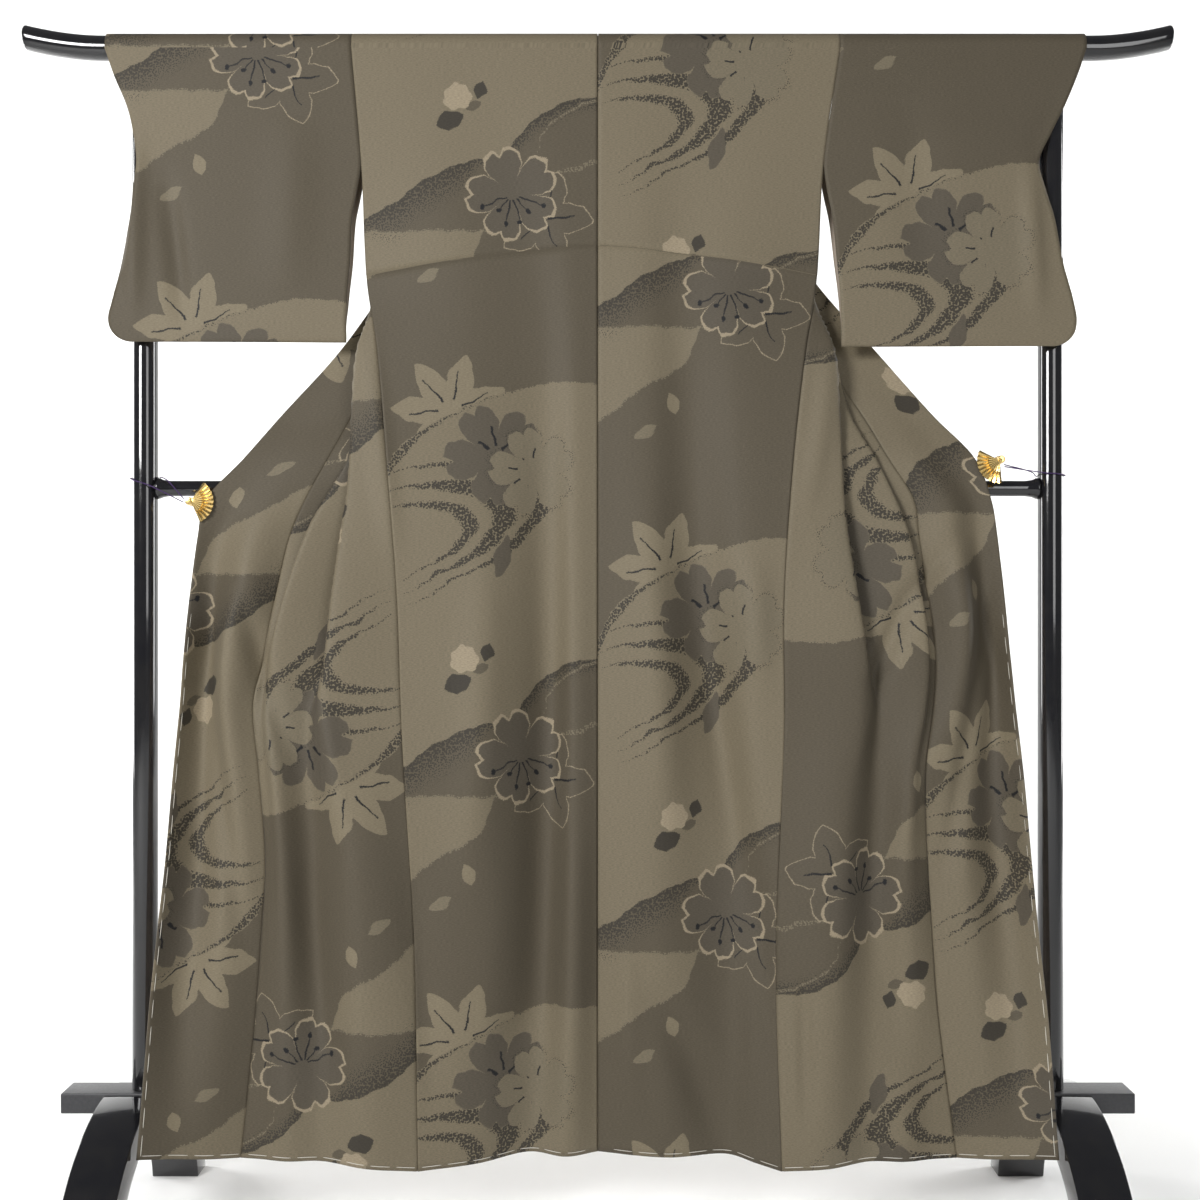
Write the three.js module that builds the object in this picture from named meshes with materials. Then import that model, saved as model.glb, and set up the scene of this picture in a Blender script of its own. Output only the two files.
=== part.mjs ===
// A lined silk kimono hung, back outwards, on a black lacquered kimono stand.
// The rail runs through both sleeves, and each front is drawn out to the side and held by a
// fan-shaped clip tied to the post. Millimetres, +Z up. X runs along the rail, Y = 0 is the plane
// of the rail and posts, the garment's back faces -Y, and the origin is on the floor.
import * as THREE from 'three';
import { mergeVertices } from 'three/addons/utils/BufferGeometryUtils.js';

// Driving dimensions.
const CLOTH = 1.6; // a face cloth and its lining together
const COLLAR_THICK = 3;
const COLLAR_WIDTH = 57; // the collar folded in half along its length
const OVER_COLLAR_THICK = 1;
const OVER_COLLAR_REACH = 480; // from the centre back along the collar
const SEAM = 0.3; // gap between two pieces where they are sewn
const RAIL_Z = 1656;
const RAIL_R = 17;
const RAIL_STRAIGHT = 690;
const RAIL_HALF = 801;
const RAIL_TIP_RISE = 15;
const POST_X = 633.5;
const POST_R = 17.5;
const CROSS_Z = 1040;
const CROSS_R = 11;
const BLOCK = { length: 220, depth: 48, top: 201, height: 28 };
const FOOT = { radius: 235, thick: 42, width: 70, crown: 200, outset: 14.5 };
const FAN = { radius: 32, spread: 61, pleats: 10, notch: 1.2, thick: 1.2 };
const TIE_D = 1.6;
const CENTRE = 0.4; // half the gap along the centre back seam
const HANG_R = RAIL_R + 1 + CLOTH / 2; // radius of the cloth's middle round the rail
const TOP_Z = 1650; // where the cloth leaves the rail
const ARMHOLE_Z = 1490; // foot of the sleeve seam
const POINT_Z = 1419; // tip of the overlap panel, where it meets the collar
const SIDE_TOP_Z = 1328; // top of the side seam
const COLLAR_END_Z = 893;
const HEM_Z = 108;

const table = (columns, rows) =>
  rows.map((row) => Object.fromEntries(columns.map((name, i) => [name, row[i]])));

// Back panels, a row per height. x is the distance out from the centre back.
const backColumns = ['z', 'centreY', 'ridgeX', 'ridgeY', 'troughX', 'troughY', 'swellX', 'swellY',
  'sideX', 'sideY'];
const backs = {
  left: table(backColumns, [
    [1650, -19, 85, -19, 170, -19, 255, -19, 342, -19],
    [1490, -21, 60, -22, 120, -20, 220, -23, 328, -20],
    [1328, -22, 40, -25, 85, -20, 190, -28, 321, -15],
    [1233, -23, 35, -27, 75, -20, 180, -32, 305, -29],
    [1080, -25, 34, -30, 68, -20, 165, -40, 289, -44],
    [886, -25, 34, -32, 62, -18, 150, -46, 274, -52],
    [700, -24, 34, -34, 64, -14, 148, -50, 267, -54],
    [420, -20, 36, -34, 72, -10, 150, -50, 251, -56],
    [108, -14, 45, -30, 95, -12, 165, -42, 244, -60],
  ]),
  right: table(backColumns, [
    [1650, -19, 85, -19, 168, -19, 252, -19, 336, -19],
    [1490, -21, 60, -23, 120, -20, 218, -23, 313, -20],
    [1328, -22, 65, -26, 112, -20, 190, -27, 304, -15],
    [1233, -23, 70, -29, 118, -20, 190, -32, 287, -29],
    [1080, -25, 72, -33, 128, -19, 192, -40, 268, -44],
    [886, -25, 72, -38, 142, -17, 200, -46, 254, -52],
    [700, -24, 76, -40, 160, -14, 212, -46, 254, -54],
    [420, -20, 84, -40, 180, -18, 216, -42, 243, -56],
    [108, -14, 95, -34, 180, -22, 218, -42, 250, -60],
  ]),
};

// Front panels and overlap panels, a row per height. The section runs from the side seam over
// lobe, tuck, crest and nook to the overlap seam, and on over rib and gully to the front edge.
const wingColumns = ['z', 'sideX', 'sideY', 'lobeX', 'lobeY', 'tuckX', 'tuckY', 'crestX', 'crestY',
  'nookX', 'nookY', 'seamX', 'seamY', 'ribX', 'ribY', 'gullyX', 'gullyY', 'edgeX', 'edgeY'];
const wings = {
  left: table(wingColumns, [
    [1650, 342, 19, 292, 19, 243, 19, 194, 19, 146, 19, 97, 19, 97, 19, 97, 19, 97, 19],
    [1580, 337, 19, 290, 34, 250, 18, 212, 38, 178, 20, 143, 25, 143, 25, 143, 25, 143, 25],
    [1490, 328, 17, 292, 32, 232, 6, 256, 32, 206, 12, 196, 28, 196, 28, 196, 28, 196, 28],
    [1419, 325, 6, 300, 14, 222, 0, 272, 20, 214, 10, 244, 27, 245, 27, 246, 27, 247, 27],
    [1328, 321, -11, 303, -5, 222, -3, 285, 8, 228, 14, 262, 22, 275, 22, 288, 23, 300, 24],
    [1233, 306, -28, 334, -20, 252, -8, 328, 0, 268, 6, 300, 14, 320, 13, 343, 12, 364, 12],
    [1140, 297, -38, 340, -32, 276, -18, 338, -14, 296, -8, 344, -3, 376, -4, 412, -3, 443, -4],
    [1080, 290, -44, 341, -41, 289, -25, 346, -29, 316, -21, 374, -20, 412, -22, 454, -20, 490, -22],
    [1023, 283, -48, 345, -46, 302, -27, 377, -36, 360, -24, 404, -27, 450, -32, 500, -28, 540, -31],
    [972, 279, -50, 352, -52, 316, -26, 402, -42, 392, -28, 425, -28, 472, -44, 524, -24, 551, -33],
    [886, 275, -52, 362, -62, 345, -32, 430, -50, 428, -38, 444, -34, 488, -60, 530, -25, 561, -38],
    [805, 273, -54, 370, -66, 362, -42, 447, -56, 450, -44, 460, -42, 503, -64, 546, -16, 567, -42],
    [740, 270, -54, 376, -64, 390, -46, 450, -60, 460, -47, 472, -44, 510, -64, 548, -18, 571, -44],
    [650, 264, -54, 345, -72, 398, -44, 438, -66, 454, -50, 464, -44, 505, -60, 548, -20, 578, -50],
    [530, 255, -54, 330, -78, 392, -40, 428, -64, 446, -50, 456, -40, 500, -56, 552, -26, 586, -60],
    [420, 251, -56, 322, -76, 388, -42, 424, -60, 446, -50, 462, -38, 510, -54, 560, -40, 595, -72],
    [310, 249, -58, 318, -74, 382, -46, 424, -58, 450, -48, 470, -38, 519, -60, 566, -56, 602, -88],
    [108, 244, -60, 312, -72, 376, -54, 422, -61, 460, -52, 487, -50, 528, -74, 568, -94, 608, -118],
  ]),
  right: table(wingColumns, [
    [1650, 336, 19, 288, 19, 240, 19, 193, 19, 145, 19, 97, 19, 97, 19, 97, 19, 97, 19],
    [1580, 329, 19, 286, 34, 246, 18, 209, 38, 176, 20, 143, 25, 143, 25, 143, 25, 143, 25],
    [1490, 313, 17, 282, 32, 226, 6, 250, 32, 203, 12, 196, 28, 196, 28, 196, 28, 196, 28],
    [1419, 309, 6, 290, 14, 218, 0, 266, 20, 212, 10, 246, 27, 247, 27, 248, 27, 249, 27],
    [1328, 304, -11, 292, -5, 218, -3, 280, 8, 230, 14, 270, 22, 284, 22, 298, 23, 312, 24],
    [1233, 288, -28, 328, -20, 248, -8, 328, 0, 276, 6, 312, 14, 338, 13, 366, 12, 392, 12],
    [1140, 277, -38, 334, -33, 272, -18, 352, -17, 320, -10, 370, -6, 402, -8, 436, -7, 468, -8],
    [1080, 269, -44, 336, -41, 286, -26, 384, -32, 364, -24, 402, -24, 442, -28, 484, -25, 520, -28],
    [1023, 264, -48, 338, -46, 302, -26, 410, -38, 396, -27, 436, -28, 478, -40, 518, -26, 542, -32],
    [972, 259, -50, 342, -52, 314, -26, 428, -44, 416, -30, 443, -30, 486, -46, 526, -24, 550, -34],
    [886, 254, -52, 354, -62, 340, -34, 444, -50, 440, -38, 455, -34, 498, -60, 532, -26, 559, -38],
    [805, 253, -54, 366, -66, 360, -44, 450, -56, 454, -44, 463, -41, 505, -62, 546, -18, 565, -42],
    [740, 254, -54, 370, -66, 386, -48, 444, -60, 450, -48, 459, -43, 502, -60, 548, -20, 570, -45],
    [650, 250, -54, 342, -72, 384, -46, 424, -64, 438, -50, 447, -43, 494, -58, 546, -22, 578, -52],
    [530, 246, -54, 328, -78, 378, -44, 418, -64, 440, -51, 452, -41, 498, -56, 552, -28, 587, -62],
    [420, 243, -56, 322, -76, 376, -44, 418, -60, 444, -50, 459, -40, 508, -56, 560, -42, 596, -74],
    [310, 244, -58, 316, -74, 374, -48, 420, -58, 448, -49, 467, -42, 516, -60, 566, -58, 603, -90],
    [108, 250, -60, 312, -72, 370, -55, 418, -62, 456, -52, 490, -50, 530, -74, 569, -95, 608, -118],
  ]),
};

// How far each line of the hem lies above the lowest one, at the side seam.
const hemLift = { centre: 10, ridge: 9, trough: 9, swell: 4, side: 0, lobe: 8, tuck: 12, crest: 14,
  nook: 14, seam: 15, rib: 22, gully: 30, edge: 38 };

// Sleeves, a row per height. slit is the gap between the sleeve and the body below the armhole.
// The near layer hangs in front of the post. The far layer starts behind the rail, passes the
// inner side of the post and joins the near layer below the cuff.
const sleeveColumns = ['z', 'slit', 'nearInY', 'nearMidY', 'cuffX', 'cuffY', 'farInY', 'farMidX',
  'farMidY', 'farCuffX', 'farCuffY'];
const sleeves = {
  left: table(sleeveColumns, [
    [1650, 0, -19, -19, 684, -19, 19, 515, 19, 684, 19],
    [1610, 0, -19.5, -21, 670, -20.5, 19, 510, 20, 662, 22],
    [1567, 0, -20, -23, 652, -21.5, 19, 505, 20, 632, 25],
    [1531, 0, -20, -24, 643, -23, 19, 500, 16, 603, 14],
    [1490, 0, -20, -25, 637, -25, 17, 505, 8, 603, -8],
    [1452, 7, -21, -26, 640, -26.5, 14, 535, -8, 627, -24.2],
    [1413, 15, -22, -27, 643, -28, 10, 560, -19, 643, -26.1],
    [1349, 20, -24, -28, 656, -29, 2, 580, -22, 656, -27.1],
    [1296, 30, -25, -29, 670, -30, -8, 590, -24, 670, -28.1],
    [1268, 37, -25, -29, 675, -30, -14, 590, -25, 675, -28.1],
    [1248, 40, -24, -28, 662, -29, -18, 585, -25.5, 662, -27.1],
  ]),
  right: table(sleeveColumns, [
    [1650, 0, -19, -19, 678, -19, 19, 505, 19, 678, 19],
    [1610, 0, -19.5, -22, 664, -20.5, 19, 500, 21, 656, 22],
    [1567, 0, -20, -24, 646, -21.5, 19, 495, 20, 628, 25],
    [1531, 0, -20, -26, 628, -23, 19, 490, 16, 600, 14],
    [1490, 0, -20, -26, 610, -25, 17, 495, 8, 596, -8],
    [1452, 7, -21, -26, 618, -26.5, 14, 525, -8, 612, -24.2],
    [1413, 16, -22, -27, 630, -28, 10, 550, -19, 630, -26.1],
    [1349, 25, -24, -28, 642, -29, 2, 570, -22, 642, -27.1],
    [1296, 36, -25, -29, 656, -30, -8, 580, -24, 656, -28.1],
    [1264, 44, -25, -29, 660, -30, -14, 580, -25, 660, -28.1],
    [1242, 48, -24, -28, 648, -29, -18, 575, -25.5, 648, -27.1],
  ]),
};
const sleeveFootZ = { left: 1241, right: 1235 };

// The collar follows the front edge on its far side. rise is how far its free edge stands
// farther back than its sewn edge.
const collarRise = table(['z', 'rise'], [
  [1650, 1], [1580, 4], [1490, 3], [1419, 6], [1328, 8], [1233, 11], [1140, 9], [1080, 4],
  [1023, 3], [972, 12], [893, 20],
]);
const COLLAR_BEHIND = 5; // the collar's middle behind the cloth's middle
const COLLAR_CELLS = 3;

// A column's value at height z, by cubic Hermite through the rows.
function at(rows, name, z) {
  let i = 0;
  while (i < rows.length - 2 && z < rows[i + 1].z) i += 1;
  const slope = (k) => {
    const a = rows[Math.max(k - 1, 0)];
    const b = rows[Math.min(k + 1, rows.length - 1)];
    return (b[name] - a[name]) / (b.z - a.z);
  };
  const [p, q] = [rows[i], rows[i + 1]];
  const h = q.z - p.z;
  const t = THREE.MathUtils.clamp((z - p.z) / h, 0, 1);
  const [t2, t3] = [t * t, t * t * t];
  return (2 * t3 - 3 * t2 + 1) * p[name] + (t3 - 2 * t2 + t) * h * slope(i)
    + (3 * t2 - 2 * t3) * q[name] + (t3 - t2) * h * slope(i + 1);
}

// The points of one level section: named lines of a table joined by a smooth curve, with the
// lowest part of each line raised to the hem's own curve.
function section(rows, lines, z) {
  const low = THREE.MathUtils.clamp((420 - z) / (420 - HEM_Z), 0, 1);
  return new THREE.CatmullRomCurve3(lines.map(([x, y, lift]) => new THREE.Vector3(
    typeof x === 'number' ? x : at(rows, x, z), at(rows, y, z), z + low * low * hemLift[lift])),
  false, 'centripetal');
}
const backLines = [[CENTRE, 'centreY', 'centre'], ['ridgeX', 'ridgeY', 'ridge'],
  ['troughX', 'troughY', 'trough'], ['swellX', 'swellY', 'swell'], ['sideX', 'sideY', 'side']];
const frontLines = ['side', 'lobe', 'tuck', 'crest', 'nook', 'seam'].map((n) => [n + 'X', n + 'Y', n]);
const overlapLines = ['seam', 'rib', 'gully', 'edge'].map((n) => [n + 'X', n + 'Y', n]);

// A wall of the given thickness about a grid of points. keep(i, j) says whether the cell between
// rows i, i + 1 and columns j, j + 1 is cloth, and a closed grid joins its last row to its first.
function wall(grid, thick, keep = () => true, closed = false) {
  const rows = grid.length;
  const columns = grid[0].length;
  const id = (i, j) => (i % rows) * columns + j;
  const cells = [];
  for (let i = 0; i < (closed ? rows : rows - 1); i += 1)
    for (let j = 0; j < columns - 1; j += 1)
      if (keep(i, j)) cells.push([id(i, j), id(i, j + 1), id(i + 1, j + 1), id(i + 1, j)]);
  const points = grid.flat();
  const normals = points.map(() => new THREE.Vector3());
  for (const [a, b, c, d] of cells) {
    const n = new THREE.Vector3().crossVectors(
      points[c].clone().sub(points[a]), points[d].clone().sub(points[b])).normalize();
    for (const k of [a, b, c, d]) normals[k].add(n);
  }
  const positions = [];
  for (const s of [0.5, -0.5])
    points.forEach((p, k) => {
      const n = normals[k].lengthSq() > 0 ? normals[k].normalize() : normals[k];
      positions.push(p.x + s * thick * n.x, p.y + s * thick * n.y, p.z + s * thick * n.z);
    });
  const index = [];
  const edges = new Map();
  const back = points.length;
  for (const [a, b, c, d] of cells) {
    index.push(a, b, c, a, c, d, back + a, back + c, back + b, back + a, back + d, back + c);
    for (const [p, q] of [[a, b], [b, c], [c, d], [d, a]]) {
      if (edges.has(q + ',' + p)) edges.delete(q + ',' + p);
      else edges.set(p + ',' + q, [p, q]);
    }
  }
  for (const [p, q] of edges.values()) index.push(q, p, back + p, q, back + p, back + q);
  const geometry = new THREE.BufferGeometry();
  geometry.setAttribute('position', new THREE.Float32BufferAttribute(positions, 3));
  geometry.setIndex(index);
  return outward(geometry);
}

// The same geometry with its faces pointing out.
function outward(geometry) {
  const p = geometry.attributes.position;
  const index = geometry.index.array;
  let volume = 0;
  const [a, b, c] = [new THREE.Vector3(), new THREE.Vector3(), new THREE.Vector3()];
  for (let i = 0; i < index.length; i += 3) {
    a.fromBufferAttribute(p, index[i]);
    b.fromBufferAttribute(p, index[i + 1]);
    c.fromBufferAttribute(p, index[i + 2]);
    volume += a.dot(b.cross(c));
  }
  if (volume < 0)
    for (let i = 0; i < index.length; i += 3) [index[i], index[i + 1]] = [index[i + 1], index[i]];
  return geometry;
}

const mirrored = (grid, side) =>
  grid.map((row) => row.map((p) => new THREE.Vector3(p.x * (side === 'left' ? -1 : 1), p.y, p.z)));

const steps = (from, to, n) => Array.from({ length: n + 1 }, (_, i) => from + (to - from) * i / n);

// Colours of the finishes.
const silk = new THREE.MeshStandardMaterial({ color: 0x6b6255, roughness: 0.75, metalness: 0 });
const lacquer = new THREE.MeshStandardMaterial({ color: 0x08080a, roughness: 0.12, metalness: 0 });
const satinBlack = new THREE.MeshStandardMaterial({ color: 0x1d1d20, roughness: 0.5, metalness: 0 });
const gilt = new THREE.MeshStandardMaterial({ color: 0xc9a04a, roughness: 0.3, metalness: 1 });
const cordPurple = new THREE.MeshStandardMaterial({ color: 0x36204f, roughness: 0.8, metalness: 0 });

const kimono = new THREE.Group();
function add(name, geometry, material) {
  const mesh = new THREE.Mesh(geometry, material);
  mesh.name = name;
  kimono.add(mesh);
  return mesh;
}

// Body: one length of cloth a side, from the back hem over the rail to the front hem.
const FRONT_CELLS = 10; // cells across the front, two to each fold
const NECK_CELLS = 4; // cells across the back from the neck point to the centre
const armholeLevels = [TOP_Z, 1610, 1567, 1531, ARMHOLE_Z];
const backLevels = steps(HEM_Z, 420, 3).concat([520, 620, 700, 790, 886, 980, 1080, 1160, 1233,
  SIDE_TOP_Z, 1410], armholeLevels.slice().reverse());
const overRail = steps(-90, 90, 8);
const frontLevels = [...armholeLevels, 1455, POINT_Z, 1373, SIDE_TOP_Z, 1280,
  1233, 1186, 1140, 1110, 1080, 1050, 1023, 1000, 972, 951, 930, 911, 886, 845, 805, 740, 650, 590, 530, 420, 310,
  200, HEM_Z];

function bodyPanel(side) {
  const [back, wing] = [backs[side], wings[side]];
  const width = back[0].sideX;
  const neck = wing[0].seamX;
  const across = steps(width, neck, FRONT_CELLS)
    .concat(steps(neck, CENTRE, NECK_CELLS).slice(1));
  const grid = backLevels.map((z) => {
    const curve = section(back, backLines, z);
    return across.map((x) => curve.getPointAt(THREE.MathUtils.clamp(x / width, 0, 1)));
  });
  for (const row of grid) for (const p of row) p.x = Math.max(p.x, CENTRE);
  const lastBack = grid.length - 1;
  for (const angle of overRail) {
    const turn = THREE.MathUtils.degToRad(angle);
    grid.push(across.map((x) => new THREE.Vector3(x, HANG_R * Math.sin(turn),
      RAIL_Z + HANG_R * Math.cos(turn))));
  }
  for (const z of frontLevels) {
    const curve = section(wing, frontLines, z);
    const row = steps(0, 1, FRONT_CELLS).map((t) => curve.getPoint(t));
    grid.push(row.concat(Array.from({ length: NECK_CELLS }, () => row[FRONT_CELLS].clone())));
  }
  const keep = (i, j) => j < FRONT_CELLS || i < lastBack + 3;
  return wall(mirrored(grid, side), CLOTH, keep);
}

function overlapPanel(side) {
  const grid = frontLevels.filter((z) => z < POINT_Z).map((z) => {
    const curve = section(wings[side], overlapLines, z);
    return steps(0, 1, 6).map((t, j) => {
      const p = curve.getPoint(t);
      if (j === 0) p.x += SEAM + 0.7 * CLOTH;
      return p;
    });
  });
  return wall(mirrored(grid, side), CLOTH);
}

function sleeve(side) {
  const rows = sleeves[side];
  const levels = rows.map((r) => r.z);
  const inner = (z, near) => at(near ? backs[side] : wings[side], 'sideX', z) + SEAM
    + (near ? 0 : 0.4 * CLOTH) + at(rows, 'slit', z);
  const layer = (z, near) => {
    const [a, mid, cuff] = near
      ? [at(rows, 'nearInY', z), [0, at(rows, 'nearMidY', z)], [at(rows, 'cuffX', z), at(rows, 'cuffY', z)]]
      : [at(rows, 'farInY', z), [at(rows, 'farMidX', z), at(rows, 'farMidY', z)],
        [at(rows, 'farCuffX', z), at(rows, 'farCuffY', z)]];
    if (near) mid[0] = (inner(z, near) + cuff[0]) / 2;
    const curve = new THREE.CatmullRomCurve3([new THREE.Vector3(inner(z, near), a, z),
      new THREE.Vector3(mid[0], mid[1], z), new THREE.Vector3(cuff[0], cuff[1], z)], false, 'centripetal');
    return curve.getSpacedPoints(8);
  };
  const foot = layer(levels[levels.length - 1], true).map((p, j) => {
    const far = layer(levels[levels.length - 1], false)[j];
    return new THREE.Vector3((p.x + far.x) / 2, (p.y + far.y) / 2, sleeveFootZ[side]);
  });
  const top = layer(TOP_Z, true);
  const grid = levels.map((z) => layer(z, true));
  grid.push(foot);
  grid.push(...levels.slice().reverse().map((z) => layer(z, false)));
  for (const angle of steps(90, -90, 8)) {
    const turn = THREE.MathUtils.degToRad(angle);
    grid.push(top.map((p) => new THREE.Vector3(p.x, HANG_R * Math.sin(turn),
      RAIL_Z + HANG_R * Math.cos(turn))));
  }
  return wall(mirrored(grid, side), CLOTH, undefined, true);
}

// How far back the overlap panel's own surface lies at distance x from the centre.
function overlapDepth(side, x, z) {
  const points = section(wings[side], overlapLines, z).getPoints(24);
  const k = points.findIndex((p) => p.x >= x);
  if (z > POINT_Z || k < 1) return -Infinity;
  const [p, q] = [points[k - 1], points[k]];
  return p.y + (q.y - p.y) * (x - p.x) / (q.x - p.x);
}

// The collar, across its width at each height, from its lower end to the neck. Where the overlap
// panel lies in front of it, the collar is that panel's surface moved back.
function collarLine(side) {
  const levels = [COLLAR_END_Z, 911, 930, 951, 972, 1000, 1023, 1052, 1080, 1110, 1140, 1186, 1233, 1280,
    SIDE_TOP_Z, 1373, POINT_Z, 1455, ARMHOLE_Z, 1531, 1567, 1610];
  const sewn = (z) => new THREE.Vector3(at(wings[side], 'edgeX', z) - 1.5,
    at(wings[side], 'edgeY', z) + COLLAR_BEHIND, z);
  return levels.map((z) => {
    const run = sewn(z + 5).sub(sewn(z - 5));
    const [out, up] = [-run.x, run.z].map((v) => v / Math.hypot(run.x, run.z));
    return steps(0, COLLAR_WIDTH, COLLAR_CELLS).map((w) => {
      const p = sewn(z).add(new THREE.Vector3(-w * up,
        at(collarRise, 'rise', z) * w / COLLAR_WIDTH, -w * out));
      p.y = Math.max(p.y, overlapDepth(side, p.x, p.z) + COLLAR_BEHIND);
      return p;
    });
  });
}

// Both halves, joined by the stretch that hangs behind the back of the neck.
function collarGrid() {
  const neck = table(['x', 'z', 'freeX', 'freeZ'], [
    [92, 1640, 36, 1601], [74, 1652, 33, 1598], [48, 1656, 24, 1598], [20, 1657, 9, 1599]]);
  const behind = HANG_R + COLLAR_BEHIND;
  const half = (side) => collarLine(side).concat(neck.map((n) => {
    const free = new THREE.Vector3(n.freeX, behind + 2, n.freeZ);
    return steps(0, 1, COLLAR_CELLS).map((t) => new THREE.Vector3(n.x, behind, n.z).lerp(free, t));
  }));
  return mirrored(half('left'), 'left').concat(half('right').reverse());
}

for (const side of ['left', 'right']) {
  add('body_' + side, bodyPanel(side), silk);
  add('overlap_' + side, overlapPanel(side), silk);
  add('sleeve_' + side, sleeve(side), silk);
}
const collar = collarGrid();
add('collar', wall(collar, COLLAR_THICK), silk);

// The over-collar covers the middle of the collar, on its far face.
const middle = collar.length / 2;
const reach = (i) => {
  const [from, to] = i < middle ? [i, middle] : [middle, i];
  return collar.slice(from, to).reduce((sum, row, k) =>
    sum + row[0].distanceTo(collar[from + k + 1][0]), 0);
};
const OVER_COLLAR_BEHIND = COLLAR_THICK / 2 + OVER_COLLAR_THICK / 2 + 2 * SEAM;
const overCollar = collar.filter((_, i) => reach(i) < OVER_COLLAR_REACH)
  .map((row) => row.map((p) => p.clone().setY(p.y + OVER_COLLAR_BEHIND)));
add('over_collar', wall(overCollar, OVER_COLLAR_THICK), silk);

// Stand: the rail with its turned-up ends, two posts, a cross rail, and a foot at each post.
function railPath() {
  const tip = (s) => [
    new THREE.Vector3(s * RAIL_HALF, 0, RAIL_Z + RAIL_TIP_RISE),
    new THREE.Vector3(s * (RAIL_HALF + RAIL_STRAIGHT) / 2, 0, RAIL_Z + RAIL_TIP_RISE * 0.28),
    new THREE.Vector3(s * RAIL_STRAIGHT, 0, RAIL_Z),
    new THREE.Vector3(s * POST_X, 0, RAIL_Z)];
  return new THREE.CatmullRomCurve3([...tip(-1), new THREE.Vector3(-300, 0, RAIL_Z),
    new THREE.Vector3(300, 0, RAIL_Z), ...tip(1).reverse()], false, 'centripetal');
}

function round(radius, sides) {
  return new THREE.Shape(steps(0, 2 * Math.PI, sides).slice(0, -1)
    .map((a) => new THREE.Vector2(radius * Math.cos(a), radius * Math.sin(a))));
}

function merged(geometry) {
  geometry.deleteAttribute('normal');
  geometry.deleteAttribute('uv');
  return outward(mergeVertices(geometry, 1e-3));
}

add('rail', merged(new THREE.ExtrudeGeometry(round(RAIL_R, 16),
  { extrudePath: railPath(), steps: 26 })), lacquer);

const postTop = RAIL_Z - RAIL_R - 2 * SEAM;
const postHeight = postTop - BLOCK.top - SEAM;
const crossHalf = POST_X - POST_R - SEAM;
for (const side of ['left', 'right']) {
  const x = side === 'left' ? -POST_X : POST_X;
  const post = add('post_' + side,
    merged(new THREE.CylinderGeometry(POST_R, POST_R, postHeight, 24)), lacquer);
  post.rotation.x = Math.PI / 2;
  post.position.set(x, 0, BLOCK.top + SEAM + postHeight / 2);

  const block = add('block_' + side,
    merged(new THREE.BoxGeometry(BLOCK.length, BLOCK.depth, BLOCK.height)), satinBlack);
  block.position.set(x, 0, BLOCK.top - BLOCK.height / 2);
}
const cross = add('cross_rail',
  merged(new THREE.CylinderGeometry(CROSS_R, CROSS_R, 2 * crossHalf, 20)), lacquer);
cross.rotation.z = Math.PI / 2;
cross.position.z = CROSS_Z;

// A foot is one bent board, seen from the side as a half ring. A notch in its crown takes the block.
function footShape() {
  const centreZ = FOOT.crown - FOOT.radius;
  const notch = BLOCK.depth / 2 + SEAM;
  const notchZ = BLOCK.top - BLOCK.height - SEAM;
  const arc = (radius, from, to, n) => steps(from, to, n)
    .map((a) => new THREE.Vector2(radius * Math.cos(a), centreZ + radius * Math.sin(a)));
  const low = Math.asin(-centreZ / FOOT.radius);
  const high = Math.acos(notch / FOOT.radius);
  const inner = FOOT.radius - FOOT.thick;
  const innerLow = Math.asin(-centreZ / inner);
  return new THREE.Shape([
    ...arc(FOOT.radius, low, high, 10),
    new THREE.Vector2(notch, notchZ),
    new THREE.Vector2(-notch, notchZ),
    ...arc(FOOT.radius, Math.PI - high, Math.PI - low, 10),
    ...arc(inner, Math.PI - innerLow, innerLow, 18),
  ]);
}
const sideways = new THREE.Matrix4().makeBasis(new THREE.Vector3(0, 1, 0),
  new THREE.Vector3(0, 0, 1), new THREE.Vector3(1, 0, 0));
for (const side of ['left', 'right']) {
  const foot = add('foot_' + side, merged(new THREE.ExtrudeGeometry(footShape(),
    { depth: FOOT.width, bevelEnabled: false })), lacquer);
  foot.quaternion.setFromRotationMatrix(sideways);
  foot.position.x = (side === 'left' ? -1 : 1) * (POST_X + FOOT.outset) - FOOT.width / 2;
}

// Clip: a pleated fan in front of the cloth, a plain leaf behind it, and a hinge beyond its edge.
const clips = {
  left: { x: 560, z: 1020, turn: -5 },
  right: { x: 553, z: 1076, turn: -34 },
};
const FAN_Y = -34.4;
const HINGE = { radius: 5.4, length: 12, y: -27.6 };
const BACK_LEAF = { length: 30, height: 12, thick: 1, y: -21 };

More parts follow.
